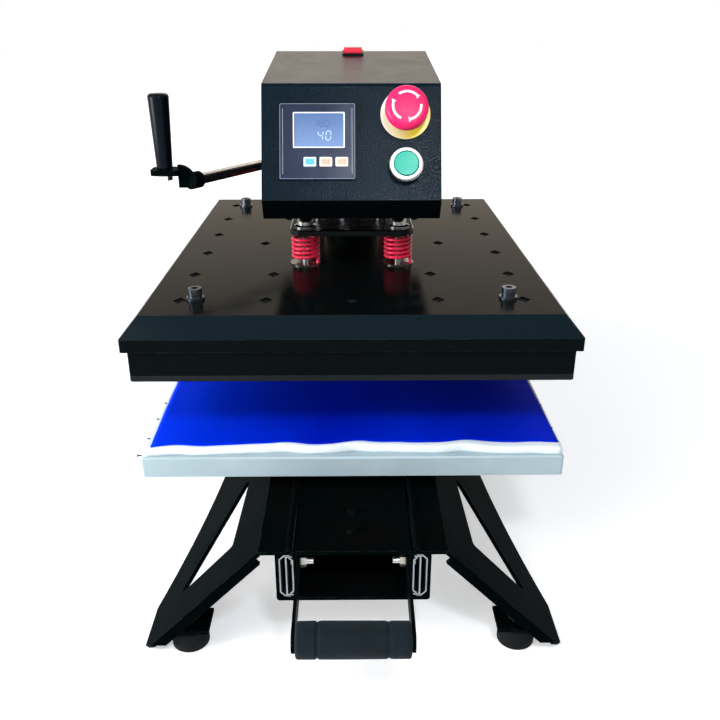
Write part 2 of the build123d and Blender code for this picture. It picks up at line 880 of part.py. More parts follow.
# Hub with its two flanged bushes
hub_bore = journal_radius + bush_wall
hub_z = column_shoulder_z + bush_flange
hub_ceiling_z = journal_top_z + 2
hub_top_z = hub_ceiling_z + hub_roof
with BuildPart() as swing_bushes:
    for low_z in (column_shoulder_z, hub_ceiling_z - bush_height):
        with BuildSketch(Plane.XY.offset(low_z)):
            with Locations((0, column_y)):
                Circle(hub_bore - press_fit)
        extrude(amount=bush_height)
    with BuildSketch(Plane.XY.offset(column_shoulder_z)):
        with Locations((0, column_y)):
            Circle(column_radius)
    extrude(amount=bush_flange)
    with BuildSketch(Plane.XY.offset(column_shoulder_z)):
        with Locations((0, column_y)):
            Circle(journal_radius + running_fit)
    extrude(amount=journal_height + 2, mode=Mode.SUBTRACT)
finish(swing_bushes.part, "swing_bushes")

with BuildPart() as swing_hub:
    with BuildSketch(Plane.XY.offset(hub_z)):
        with Locations((0, column_y)):
            Circle(hub_radius)
    extrude(amount=hub_top_z - hub_z)
    chamfer(swing_hub.edges().group_by(Axis.Z)[-1], length=3)
    with BuildSketch(Plane.XY.offset(hub_z)):
        with Locations((0, column_y)):
            Circle(hub_bore)
    extrude(amount=hub_ceiling_z - hub_z, mode=Mode.SUBTRACT)
finish(swing_hub.part, "swing_hub")


# Swing arm: a box tube from the hub to the head's plate
arm_z = head_plate_top_z
with BuildPart() as swing_arm:
    with BuildSketch(facing_y(column_y)):
        with Locations((0, arm_z + arm_height / 2)):
            RectangleRounded(arm_width, arm_height, 5)
            RectangleRounded(arm_width - 2 * arm_wall, arm_height - 2 * arm_wall, 2, mode=Mode.SUBTRACT)
    extrude(amount=column_y - arm_front_y)
    with BuildSketch(Plane.XY.offset(arm_z)):
        with Locations((0, column_y)):
            Circle(hub_radius + press_fit)
    extrude(amount=arm_height, mode=Mode.SUBTRACT)
finish(swing_arm.part, "swing_arm")


# Head plate: it carries the cylinder and the guides, with a tongue under the arm
plate_front_y = head_front_y + head_sheet + 1
plate_rear_y = head_rear_y - head_sheet
plate_half_width = head_half_width - head_sheet - press_fit
cover_screw_z = head_z + head_plate_height / 2
cover_screw_y = (-110.0, 50.0)
cover_screw_bite = 8.0
with BuildPart() as head_base_plate:
    with BuildSketch(Plane.XY.offset(head_z)):
        with Locations((0, (plate_front_y + plate_rear_y) / 2)):
            Rectangle(2 * plate_half_width, plate_rear_y - plate_front_y)
        with Locations((0, (plate_rear_y + tongue_rear_y) / 2 - 5)):
            RectangleRounded(tongue_width, tongue_rear_y - plate_rear_y + 10, 12)
        Circle(piston_rod_radius + 2, mode=Mode.SUBTRACT)
        with guide_places:
            Circle(guide_radius + guide_bush_wall + press_fit, mode=Mode.SUBTRACT)
    extrude(amount=head_plate_height)
    for side in (1, -1):
        with BuildSketch(Plane.YZ.offset(side * head_half_width)):
            with Locations(*[(y, cover_screw_z) for y in cover_screw_y]):
                Circle(2 + press_fit)
        extrude(amount=-side * (head_sheet + cover_screw_bite + 1), mode=Mode.SUBTRACT)
finish(head_base_plate.part, "head_base_plate")

with BuildPart() as guide_bushes:
    with BuildSketch(Plane.XY.offset(head_z)):
        with guide_places:
            Circle(guide_radius + guide_bush_wall)
    extrude(amount=guide_bush_height)
    with BuildSketch(Plane.XY.offset(head_z)):
        with guide_places:
            Circle(guide_radius + guide_bush_wall + 2.5)
    extrude(amount=-2)
    with BuildSketch(Plane.XY.offset(head_z - 2)):
        with guide_places:
            Circle(guide_radius + running_fit)
    extrude(amount=guide_bush_height + 2, mode=Mode.SUBTRACT)
finish(guide_bushes.part, "guide_bushes")


# Air cylinder: a round barrel between two caps, with a port in each cap
cylinder_inner_z = head_plate_top_z + cylinder_cap_height
cylinder_inner_top_z = cylinder_inner_z + press_stroke + piston_height + 2
cylinder_top_z = cylinder_inner_top_z + cylinder_cap_height
with BuildPart() as air_cylinder:
    with BuildSketch(Plane.XY.offset(head_plate_top_z)):
        Circle(cylinder_cap_radius)
    extrude(amount=cylinder_cap_height)
    with BuildSketch(Plane.XY.offset(cylinder_inner_z)):
        Circle(piston_radius + cylinder_wall)
    extrude(amount=cylinder_inner_top_z - cylinder_inner_z)
    with BuildSketch(Plane.XY.offset(cylinder_inner_top_z)):
        Circle(cylinder_cap_radius)
    extrude(amount=cylinder_cap_height)
    with BuildSketch(Plane.XY.offset(cylinder_inner_z)):
        Circle(piston_radius)
    extrude(amount=cylinder_inner_top_z - cylinder_inner_z, mode=Mode.SUBTRACT)
    with BuildSketch(Plane.XY.offset(head_plate_top_z)):
        Circle(piston_rod_radius + running_fit)
    extrude(amount=cylinder_cap_height, mode=Mode.SUBTRACT)
    for port_z in (head_plate_top_z + cylinder_cap_height / 2, cylinder_top_z - cylinder_cap_height / 2):
        with BuildSketch(Plane.YZ.offset(cylinder_cap_radius)):
            with Locations((0, port_z)):
                Circle(4)
        extrude(amount=-14, mode=Mode.SUBTRACT)
finish(air_cylinder.part, "air_cylinder")

piston_top_z = cylinder_inner_top_z - 0.2
rod_foot_height = 8.0
with BuildPart() as piston_rod:
    with BuildSketch(Plane.XY.offset(pressing_top_z)):
        Circle(20)
    extrude(amount=rod_foot_height)
    fillet(piston_rod.edges().group_by(Axis.Z)[-1], radius=1.5)
    with BuildSketch(Plane.XY.offset(pressing_top_z)):
        Circle(piston_rod_radius)
    extrude(amount=piston_top_z - pressing_top_z)
    with BuildSketch(Plane.XY.offset(piston_top_z - piston_height)):
        Circle(piston_radius - running_fit)
    extrude(amount=piston_height)
finish(piston_rod.part, "piston_rod")

guide_top_z = head_z + guide_bush_height + press_stroke + guide_top_spare
with BuildPart() as guide_rods:
    with BuildSketch(Plane.XY.offset(pressing_top_z)):
        with guide_places:
            Circle(guide_radius + 3)
    extrude(amount=4)
    with BuildSketch(Plane.XY.offset(pressing_top_z)):
        with guide_places:
            Circle(guide_radius)
    extrude(amount=guide_top_z - pressing_top_z)
    chamfer(guide_rods.edges().group_by(Axis.Z)[-1], length=1)
finish(guide_rods.part, "guide_rods")


# Pressing plate: it lies on the four springs and takes the push of the piston
bolt_radius = 4.0
with BuildPart() as pressing_plate:
    with BuildSketch(Plane.XY.offset(pressing_foot_z)):
        RectangleRounded(pressing_width, pressing_length, pressing_corner)
    extrude(amount=pressing_height)
    chamfer(pressing_plate.edges().group_by(Axis.Z)[-1], length=1)
    with BuildSketch(Plane.XY.offset(pressing_foot_z)):
        with spring_places:
            Circle(bolt_radius + screw_play)
    extrude(amount=pressing_height, mode=Mode.SUBTRACT)
finish(pressing_plate.part, "pressing_plate")

# Sprung bolts: a shank from the heated platen up through spring and plate, a washer under the
# spring and a domed nut on the plate
shank_foot_z = heater_top_z - bolt_bite
nut_z = pressing_top_z
with BuildPart() as spring_bolts:
    with BuildSketch(Plane.XY.offset(shank_foot_z)):
        with spring_places:
            Circle(bolt_radius)
    extrude(amount=nut_z + 1 - shank_foot_z)
    with BuildSketch(Plane.XY.offset(cover_top_z)):
        with spring_places:
            Circle(spring_outer_radius + spring_washer_margin)
    extrude(amount=spring_washer_height)
    for place in spring_places:
        with BuildSketch(side_plane(place.position.X, place.position.Y)):
            with BuildLine():
                Polyline((0, nut_z), (11.5, nut_z), (11.5, nut_z + 1.5), (8, nut_z + 2.6), (8, nut_z + 6))
                dome(8, nut_z + 6, nut_z + dome_nut_height)
                Line((0, nut_z + dome_nut_height), (0, nut_z))
            make_face()
        revolve(axis=Axis(place.position, (0, 0, 1)))
finish(spring_bolts.part, "spring_bolts")

# Springs: each is one wire, with its ends square on the washer and under the plate
coil_radius = spring_outer_radius - spring_wire / 2
end_bend = spring_wire * 1.15
end_angle = end_bend / coil_radius
coil_start_z = spring_seat_z + spring_end_stub + end_bend
coil_end_z = pressing_foot_z - spring_end_stub - end_bend
coil_turn = 2 * pi * spring_turns


def coil_point(x, y, angle):
    z = coil_start_z + (coil_end_z - coil_start_z) * angle / coil_turn
    return Vector(x + coil_radius * cos(angle), y + coil_radius * sin(angle), z)


def coil_heading(angle):
    climb = (coil_end_z - coil_start_z) / coil_turn
    return Vector(-coil_radius * sin(angle), coil_radius * cos(angle), climb).normalized()


def biarc(start, start_heading, end, end_heading):
    """Two arcs that run from one point and heading to another and join smoothly."""
    chord = end - start
    headings = start_heading + end_heading
    a = 2 * (start_heading.dot(end_heading) - 1)
    b = -2 * chord.dot(headings)
    c = chord.dot(chord)
    reach = -c / b if abs(a) < 1e-9 else (-b - sqrt(b * b - 4 * a * c)) / (2 * a)
    first = start + start_heading * reach
    second = end - end_heading * reach
    middle = (first + second) * 0.5
    TangentArc(start, middle, tangent=start_heading)
    TangentArc(middle, end, tangent=(second - first).normalized())


up = Vector(0, 0, 1)
coil_paths = []
with BuildPart() as press_springs:
    for place in spring_places:
        x = place.position.X
        y = place.position.Y
        foot = coil_point(x, y, -end_angle)
        foot = Vector(foot.X, foot.Y, spring_seat_z)
        knee = foot + up * spring_end_stub
        head = coil_point(x, y, coil_turn + end_angle)
        head = Vector(head.X, head.Y, pressing_foot_z)
        neck = head - up * spring_end_stub
        with BuildLine() as wire_path:
            Line(foot, knee)
            biarc(knee, up, coil_point(x, y, 0), coil_heading(0))
            for half_turn in range(2 * spring_turns):
                low = half_turn * pi
                high = low + pi
                biarc(
                    coil_point(x, y, low),
                    coil_heading(low),
                    coil_point(x, y, high),
                    coil_heading(high),
                )
            biarc(coil_point(x, y, coil_turn), coil_heading(coil_turn), neck, up)
            Line(neck, head)
        coil_paths.append(wire_path.wires()[0])
        with BuildSketch(Plane(origin=foot, x_dir=(1, 0, 0), z_dir=(0, 0, 1))):
            Circle(spring_wire / 2)
        sweep(path=wire_path.wires()[0])
finish(press_springs.part, "press_springs")


def least_gap(path, wire_diameter):
    """The least gap between stretches of one wire that lie over two diameters apart along it."""
    count = 400
    points = [path.position_at(i / count) for i in range(count + 1)]
    spacing = path.length / count
    skip = int(2 * wire_diameter / spacing) + 1
    gaps = [
        (points[i] - points[j]).length - wire_diameter
        for i in range(count + 1)
        for j in range(i + skip, count + 1)
    ]
    return min(gaps)


print("spring: least gap to itself", round(least_gap(coil_paths[0], spring_wire), 2), "mm")


# Upper platen cover: a sheet pan with a bevelled edge, vent holes and screw holes
with BuildPart() as platen_cover:
    with BuildSketch(Plane.XY.offset(rim_z)):
        Rectangle(platen_width + 2 * rim_overhang, platen_length + 2 * rim_overhang)
    extrude(amount=rim_height)
    with BuildSketch(Plane.XY.offset(rim_top_z)):
        Rectangle(platen_width + 2 * rim_overhang, platen_length + 2 * rim_overhang)
    with BuildSketch(Plane.XY.offset(cover_top_z)):
        Rectangle(2 * cover_half_width, 2 * cover_half_length)
    loft(ruled=True)
    fillet(platen_cover.edges().filter_by(Axis.Z), radius=2)
    offset(amount=-cover_sheet, openings=platen_cover.faces().sort_by(Axis.Z)[0], kind=Kind.INTERSECTION)
    with BuildSketch(Plane.XY.offset(cover_top_z)):
        for vent_x, vent_y in (
            (2 * vent_pitch, 0.5 * vent_pitch),
            (2 * vent_pitch, 1.5 * vent_pitch),
            (2 * vent_pitch, 2.5 * vent_pitch),
            (vent_pitch, 1.5 * vent_pitch),
            (vent_pitch, 2.5 * vent_pitch),
        ):
            with GridLocations(2 * vent_x, 2 * vent_y, 2, 2):
                Polygon(
                    (-vent_width / 2, 0), (0, -vent_length / 2), (vent_width / 2, 0), (0, vent_length / 2)
                )
        with GridLocations(1, 5 * vent_pitch, 1, 2):
            Polygon((-vent_width / 2, 0), (0, -vent_length / 2), (vent_width / 2, 0), (0, vent_length / 2))
        with GridLocations(2 * side_vent_x, 1, 2, 1):
            Polygon((-vent_width / 2, 0), (0, -vent_length / 2), (vent_width / 2, 0), (0, vent_length / 2))
        with screw_places:
            Circle(screw_radius + screw_play)
        with spring_places:
            Circle(bolt_radius + screw_play)
    extrude(amount=-cover_sheet - 1, mode=Mode.SUBTRACT)
finish(platen_cover.part, "platen_cover")

with BuildPart() as platen_skirt:
    with BuildSketch(Plane.XY.offset(heater_step_z)):
        RectangleRounded(platen_width, platen_length, 2)
        Rectangle(platen_width - 2 * cover_sheet, platen_length - 2 * cover_sheet, mode=Mode.SUBTRACT)
    extrude(amount=skirt_height)
finish(platen_skirt.part, "platen_skirt")

insulation_top_z = cover_top_z - cover_sheet
with BuildPart() as insulation_board:
    with BuildSketch(Plane.XY.offset(heater_top_z)):
        Rectangle(2 * cover_half_width - 2 * insulation_margin, 2 * cover_half_length - 2 * insulation_margin)
        with spring_places:
            Circle(bolt_radius + 1, mode=Mode.SUBTRACT)
        with screw_places:
            Circle(screw_radius + 1, mode=Mode.SUBTRACT)
    extrude(amount=insulation_top_z - heater_top_z)
finish(insulation_board.part, "insulation_board")

screw_bite = 10.0
with BuildPart() as heater_platen:
    with BuildSketch(Plane.XY.offset(heater_z)):
        RectangleRounded(platen_width, platen_length, 2)
    extrude(amount=heater_lip_height)
    chamfer(heater_platen.edges().group_by(Axis.Z)[0], length=1)
    step_inset = cover_sheet + press_fit
    with BuildSketch(Plane.XY.offset(heater_step_z)):
        Rectangle(platen_width - 2 * step_inset, platen_length - 2 * step_inset)
    extrude(amount=heater_step_height)
    with BuildSketch(Plane.XY.offset(heater_top_z)):
        with spring_places:
            Circle(bolt_radius + press_fit)
    extrude(amount=-bolt_bite - 1, mode=Mode.SUBTRACT)
    with BuildSketch(Plane.XY.offset(heater_top_z)):
        with screw_places:
            Circle(screw_radius + press_fit)
    extrude(amount=-screw_bite - 1, mode=Mode.SUBTRACT)
finish(heater_platen.part, "heater_platen")

screw_seat_z = cover_top_z + screw_washer_height
socket_depth = 5.0
with BuildPart() as platen_screws:
    with BuildSketch(Plane.XY.offset(heater_top_z - screw_bite)):
        with screw_places:
            Circle(screw_radius)
    extrude(amount=screw_seat_z - heater_top_z + screw_bite)
    with BuildSketch(Plane.XY.offset(cover_top_z)):
        with screw_places:
            Circle(screw_head_radius + 2)
    extrude(amount=screw_washer_height)
    with BuildSketch(Plane.XY.offset(screw_seat_z)):
        with screw_places:
            Circle(screw_head_radius)
    extrude(amount=screw_head_height)
    with BuildSketch(Plane.XY.offset(screw_seat_z + screw_head_height)):
        with screw_places:
            RegularPolygon(radius=3, side_count=6, major_radius=False)
    extrude(amount=-socket_depth, mode=Mode.SUBTRACT)
finish(platen_screws.part, "platen_screws")


# Head cover: a folded shell, open below, with cut-outs for everything that passes it
cutout_play = 0.4
with BuildPart() as head_cover:
    with BuildSketch(Plane.YZ.offset(-head_half_width)):
        with BuildLine():
            Polyline(
                (head_front_y, head_z),
                (panel_foot_y, panel_foot_z),
                (panel_head_y, panel_head_z),
                (head_rear_y, head_rear_top_z),
                (head_rear_y, head_z),
                close=True,
            )
        make_face()
    extrude(amount=2 * head_half_width)
    brow = head_cover.edges().filter_by(Axis.X).sort_by(Axis.Z)[-2:]
    fillet(brow, radius=head_edge_radius)
    offset(amount=-head_sheet, openings=head_cover.faces().sort_by(Axis.Z)[0], kind=Kind.INTERSECTION)
    with BuildSketch(panel):
        with Locations((controller_x, controller_up)):
            Rectangle(controller_body + 2 * cutout_play, controller_body + 2 * cutout_play)
        with Locations((switch_x, estop_up), (switch_x, start_up)):
            Circle(switch_barrel_radius + cutout_play)
    extrude(amount=-2 * head_sheet, mode=Mode.SUBTRACT)
    with BuildSketch(head_top):
        with Locations((rocker_x, rocker_up)):
            Rectangle(2 * rocker_half_width + 3, 2 * rocker_half_length + 3)
    extrude(amount=-2 * head_sheet, mode=Mode.SUBTRACT)
    with BuildSketch(facing_y(head_rear_y)):
        with Locations((0, head_z)):
            Rectangle(
                tongue_width + 2 * cutout_play,
                head_plate_height + 2 * cutout_play,
                align=(Align.CENTER, Align.MIN),
            )
            Rectangle(
                arm_width + 2 * cutout_play,
                head_plate_height + arm_height + cutout_play,
                align=(Align.CENTER, Align.MIN),
            )
        with Locations((inlet_x, inlet_z)):
            Rectangle(28 + 2 * cutout_play, 20 + 2 * cutout_play)
        with Locations((regulator_x, regulator_z)):
            Circle(5)
    extrude(amount=2 * head_sheet, mode=Mode.SUBTRACT)
    fuse_y = 35.0
    fuse_z = 470.0
    with BuildSketch(Plane.YZ.offset(-head_half_width)):
        with Locations((fuse_y, fuse_z)):
            Circle(5 + cutout_play)
    extrude(amount=2 * head_sheet, mode=Mode.SUBTRACT)
    with BuildSketch(Plane.YZ.offset(-head_half_width)):
        with Locations(*[(y, cover_screw_z) for y in cover_screw_y]):
            Circle(2 + screw_play)
    extrude(amount=2 * head_half_width, mode=Mode.SUBTRACT)
finish(head_cover.part, "head_cover")

# Cover screws: low round heads on the sides, threaded into the edge of the head's plate
with BuildPart() as cover_screws:
    with BuildSketch(Plane.YZ.offset(head_half_width)):
        with Locations(*[(y, cover_screw_z) for y in cover_screw_y]):
            Circle(3.8)
    extrude(amount=2, taper=20)
    with BuildSketch(Plane.YZ.offset(head_half_width)):
        with Locations(*[(y, cover_screw_z) for y in cover_screw_y]):
            Circle(2)
    extrude(amount=-head_sheet - cover_screw_bite)
    mirror(about=Plane.YZ)
finish(cover_screws.part, "cover_screws")


# Temperature controller: a square housing with a display window and three keys
key_places = [(key_pitch * i + controller_x - 7 + 15, key_up) for i in (-1, 0, 1)]
key_pocket_depth = 2.6
with BuildPart() as controller_housing:
    with BuildSketch(panel):
        with Locations((controller_x, controller_up)):
            RectangleRounded(controller_size, controller_size, 2.5)
    extrude(amount=controller_frame)
    chamfer(controller_housing.faces().sort_by(Axis((0, 0, 0), panel.z_dir))[-1].edges(), length=0.8)
    with BuildSketch(panel):
        with Locations((controller_x, controller_up)):
            Rectangle(controller_body, controller_body)
    extrude(amount=-controller_depth)
    with BuildSketch(panel.offset(controller_frame)):
        with Locations((display_x, display_up)):
            Rectangle(display_width, display_length)
    extrude(amount=-display_depth, mode=Mode.SUBTRACT)
    with BuildSketch(panel.offset(controller_frame)):
        with Locations(*key_places):
            RectangleRounded(key_width + 2 * slide_play, key_length + 2 * slide_play, 1.5)
    extrude(amount=-key_pocket_depth, mode=Mode.SUBTRACT)
finish(controller_housing.part, "controller_housing")

with BuildPart() as controller_display:
    with BuildSketch(panel.offset(controller_frame - display_depth)):
        with Locations((display_x, display_up)):
            Rectangle(display_width - 2 * press_fit, display_length - 2 * press_fit)
    extrude(amount=display_depth - 0.3)
finish(controller_display.part, "controller_display")

for key_name, key_place in zip(("key_left", "key_middle", "key_right"), key_places):
    with BuildPart() as key:
        with BuildSketch(panel.offset(controller_frame - key_pocket_depth + key_travel + 0.2)):
            with Locations(key_place):
                RectangleRounded(key_width, key_length, 1.2)
        extrude(amount=key_pocket_depth + key_proud - key_travel - 0.2)
        fillet(key.faces().sort_by(Axis((0, 0, 0), panel.z_dir))[-1].edges(), radius=0.5)
    finish(key.part, key_name)


# Emergency stop: a yellow ring, the switch barrel and contact block, and a mushroom head
# that pushes in and turns to release
estop_collar_top = mushroom_underside - mushroom_hub_drop - estop_travel - estop_rest_gap
estop_place = (switch_x, estop_up)
start_place = (switch_x, start_up)
stem_length_inside = 12.0
stem_seat = 19.0
with BuildPart() as estop_base:
    with BuildSketch(panel):
        with Locations(estop_place):
            Circle(estop_ring_radius)
    extrude(amount=estop_ring_height)
    with BuildSketch(panel):
        with Locations(estop_place):
            Circle(estop_collar_radius)
    extrude(amount=estop_collar_top)
    with BuildSketch(panel):
        with Locations(estop_place):
            Circle(switch_barrel_radius)
    extrude(amount=-switch_barrel_length)
    with BuildSketch(panel.offset(-switch_barrel_length)):
        with Locations(estop_place):
            Rectangle(contact_block_width, contact_block_length)
    extrude(amount=-contact_block_depth)
    with BuildSketch(panel.offset(estop_collar_top)):
        with Locations(estop_place):
            Circle(stem_radius + running_fit)
    extrude(amount=-estop_collar_top - stem_length_inside - estop_travel - 1, mode=Mode.SUBTRACT)
finish(estop_base.part, "estop_base")

with BuildPart() as estop_stem:
    with BuildSketch(panel.offset(-stem_length_inside)):
        with Locations(estop_place):
            Circle(stem_radius)
    extrude(amount=stem_length_inside + stem_seat)
finish(estop_stem.part, "estop_stem")

estop_centre = panel.from_local_coords((switch_x, estop_up, 0))
estop_axis = Axis(estop_centre, panel.z_dir)
estop_side = Plane(origin=estop_centre, x_dir=(1, 0, 0), z_dir=-panel.y_dir)
with BuildPart() as estop_mushroom:
    with BuildSketch(estop_side):
        with BuildLine():
            Polyline(
                (stem_radius + running_fit, mushroom_underside - mushroom_hub_drop),
                (stem_radius + 3, mushroom_underside - mushroom_hub_drop),
                (stem_radius + 4, mushroom_underside + 1),
                (mushroom_radius - 1, mushroom_underside + 1),
                (mushroom_radius, mushroom_underside + 2.5),
                (mushroom_radius, mushroom_top - 6),
            )
            ThreePointArc(
                (mushroom_radius, mushroom_top - 6),
                (mushroom_radius - 1.4, mushroom_top - 2.6),
                (mushroom_radius - 5, mushroom_top - 1),
            )
            dome(mushroom_radius - 5, mushroom_top - 1, mushroom_top)
            Polyline(
                (0, mushroom_top),
                (0, stem_seat + 0.1),
                (stem_radius + running_fit, stem_seat + 0.1),
                (stem_radius + running_fit, mushroom_underside - mushroom_hub_drop),
            )
        make_face()
    revolve(axis=estop_axis)
finish(estop_mushroom.part, "estop_mushroom")


# Start button: a stepped bezel round a flush green cap
with BuildPart() as start_bezel:
    with BuildSketch(panel):
        with Locations(start_place):
            Circle(bezel_radius + 0.8)
    extrude(amount=bezel_top - 4)
    with BuildSketch(panel):
        with Locations(start_place):
            Circle(bezel_radius)
    extrude(amount=bezel_top)
    bezel_face = start_bezel.faces().sort_by(Axis((0, 0, 0), panel.z_dir))[-1]
    chamfer(bezel_face.edges(), length=0.8)
    with BuildSketch(panel):
        with Locations(start_place):
            Circle(switch_barrel_radius)
    extrude(amount=-switch_barrel_length)
    with BuildSketch(panel.offset(-switch_barrel_length)):
        with Locations(start_place):
            Rectangle(contact_block_width, contact_block_length)
    extrude(amount=-contact_block_depth)
    with BuildSketch(panel.offset(bezel_top)):
        with Locations(start_place):
            Circle(start_cap_radius + screw_play)
    extrude(amount=-9, mode=Mode.SUBTRACT)
    with BuildSketch(panel.offset(bezel_top)):
        with Locations(start_place):
            Circle(5 + running_fit)
    extrude(amount=-24, mode=Mode.SUBTRACT)
finish(start_bezel.part, "start_bezel")

with BuildPart() as start_button:
    with BuildSketch(panel.offset(bezel_top - 9 + start_travel + 0.5)):
        with Locations(start_place):
            Circle(start_cap_radius)
    extrude(amount=9.3 - start_travel)
    cap_face = start_button.faces().sort_by(Axis((0, 0, 0), panel.z_dir))[-1]
    fillet(cap_face.edges(), radius=1)
    with BuildSketch(panel.offset(bezel_top - 9 + start_travel + 0.5)):
        with Locations(start_place):
            Circle(5)
    extrude(amount=-14)
finish(start_button.part, "start_button")


# Power rocker on the top of the head
rocker_pivot_up = rocker_bezel_height + 0.5
bezel_half_width = rocker_half_width + rocker_bezel_margin
bezel_half_length = rocker_half_length + 1 + rocker_bezel_margin
rocker_place = (rocker_x, rocker_up)
with BuildPart() as rocker_housing:
    with BuildSketch(head_top):
        with Locations(rocker_place):
            RectangleRounded(2 * bezel_half_width, 2 * bezel_half_length, 1.5)
    extrude(amount=rocker_bezel_height)
    with BuildSketch(head_top):
        with Locations(rocker_place):
            Rectangle(2 * rocker_half_width + 2.4, 2 * rocker_half_length + 2.4)
    extrude(amount=-rocker_body_depth)
    with BuildSketch(head_top.offset(rocker_bezel_height)):
        with Locations(rocker_place):
            Rectangle(2 * rocker_half_width + 2 * cutout_play, 2 * rocker_half_length + 1.4)
    extrude(amount=-rocker_bezel_height - 11, mode=Mode.SUBTRACT)
finish(rocker_housing.part, "rocker_housing")

rocker_pivot = head_top.from_local_coords((rocker_x, rocker_up, rocker_pivot_up))
rocker_side = Plane(origin=rocker_pivot, x_dir=head_top.y_dir, z_dir=(1, 0, 0))
rocker_side = rocker_side.rotated((-rocker_swing / 2, 0, 0))
with BuildPart() as power_rocker:
    with BuildSketch(rocker_side.offset(-rocker_half_width)):
        with BuildLine():
            Polyline(
                (-rocker_half_length, 0),
                (-rocker_half_length, 3.5),
                (0, 1.8),
                (rocker_half_length, 3.5),
                (rocker_half_length, 0),
            )
            ThreePointArc((rocker_half_length, 0), (0, -rocker_half_length), (-rocker_half_length, 0))
        make_face()
    extrude(amount=2 * rocker_half_width)
finish(power_rocker.part, "power_rocker")


# Fuse holder on the left side of the head
with BuildPart() as fuse_holder:
    with BuildSketch(Plane.YZ.offset(-head_half_width)):
        with Locations((fuse_y, fuse_z)):
            Circle(7)
    extrude(amount=-2)
    with BuildSketch(Plane.YZ.offset(-head_half_width - 2)):
        with Locations((fuse_y, fuse_z)):
            Circle(5.5)
    extrude(amount=-5.5, taper=4)
    with BuildSketch(Plane.YZ.offset(-head_half_width)):
        with Locations((fuse_y, fuse_z)):
            Circle(5)
    extrude(amount=22)
finish(fuse_holder.part, "fuse_holder")


# Solenoid valve inside the head, on the plate beside the cylinder
with BuildPart() as solenoid_valve:
    with BuildSketch(Plane.XY.offset(head_plate_top_z)):
        with Locations((64, 5)):
            Rectangle(22, 52)
    extrude(amount=20)
    with BuildSketch(Plane.XY.offset(head_plate_top_z + 20)):
        with Locations((64, -4)):
            Rectangle(20, 26)
    extrude(amount=26)
    with BuildSketch(Plane.XY.offset(head_plate_top_z + 46)):
        with Locations((64, -4)):
            Circle(6)
    extrude(amount=4)
finish(solenoid_valve.part, "solenoid_valve")


# Air regulator on the back of the head: bracket, body, bowl and bonnet, with the inlet port
# on its right side, the gauge on its back and the adjusting knob on top
regulator_front_y = head_rear_y + regulator_bracket
regulator_y = regulator_front_y + regulator_width / 2
regulator_right_x = regulator_x + regulator_width / 2
body_top_z = regulator_z + regulator_height / 2
body_foot_z = regulator_z - regulator_height / 2
bonnet_height = 10.0
knob_neck_radius = 6.0
with BuildPart() as air_regulator:
    with BuildSketch(facing_y(regulator_front_y)):
        with Locations((regulator_x, regulator_z)):
            RectangleRounded(regulator_width - 8, regulator_height + 16, 3)
    extrude(amount=regulator_bracket)
    with BuildSketch(Plane.XY.offset(body_foot_z)):
        with Locations((regulator_x, regulator_y)):
            RectangleRounded(regulator_width, regulator_width, 5)
    extrude(amount=regulator_height)
    with BuildSketch(Plane.XY.offset(body_foot_z)):
        with Locations((regulator_x, regulator_y)):
            Circle(bowl_radius)
    extrude(amount=-bowl_height, taper=3)
    with BuildSketch(Plane.XY.offset(body_foot_z - bowl_height)):
        with Locations((regulator_x, regulator_y)):
            Circle(4)
    extrude(amount=-6)
    with BuildSketch(Plane.XY.offset(body_top_z)):
        with Locations((regulator_x, regulator_y)):
            Circle(knob_radius - 1)
    extrude(amount=bonnet_height - slide_play)
    with BuildSketch(Plane.XY.offset(body_top_z)):
        with Locations((regulator_x, regulator_y)):
            Circle(knob_neck_radius)
    extrude(amount=bonnet_height + 8)
    with BuildSketch(Plane.YZ.offset(regulator_right_x)):
        with Locations((regulator_y, regulator_z)):
            Circle(8)
    extrude(amount=3)
    with BuildSketch(Plane.YZ.offset(regulator_right_x + 3)):
        with Locations((regulator_y, regulator_z)):
            Circle(air_port_radius)
    extrude(amount=-air_port_length, mode=Mode.SUBTRACT)
finish(air_regulator.part, "air_regulator")

knob_foot_z = body_top_z + bonnet_height
knob_flutes = 12
with BuildPart() as regulator_knob:
    with BuildSketch(Plane.XY.offset(knob_foot_z)):
        with Locations((regulator_x, regulator_y)):
            Circle(knob_radius)
            with PolarLocations(knob_radius + 0.8, knob_flutes):
                Circle(2, mode=Mode.SUBTRACT)
    extrude(amount=knob_height)
    with BuildSketch(Plane.XY.offset(knob_foot_z)):
        with Locations((regulator_x, regulator_y)):
            Circle(knob_neck_radius + running_fit)
    extrude(amount=8.5, mode=Mode.SUBTRACT)
finish(regulator_knob.part, "regulator_knob")

gauge_face_y = regulator_front_y + regulator_width
with BuildPart() as pressure_gauge:
    with BuildSketch(facing_y(gauge_face_y)):
        with Locations((regulator_x, regulator_z)):
            Circle(6)
    extrude(amount=-6)
    with BuildSketch(facing_y(gauge_face_y + 6)):
        with Locations((regulator_x, regulator_z)):
            Circle(gauge_radius)
    extrude(amount=-gauge_depth)
    chamfer(pressure_gauge.edges().filter_by(GeomType.CIRCLE).sort_by(Axis.Y)[-1], length=1.2)
    with BuildSketch(facing_y(gauge_face_y + 6 + gauge_depth)):
        with Locations((regulator_x, regulator_z)):
            Circle(gauge_radius - 2.5)
    extrude(amount=1.5, mode=Mode.SUBTRACT)
finish(pressure_gauge.part, "pressure_gauge")

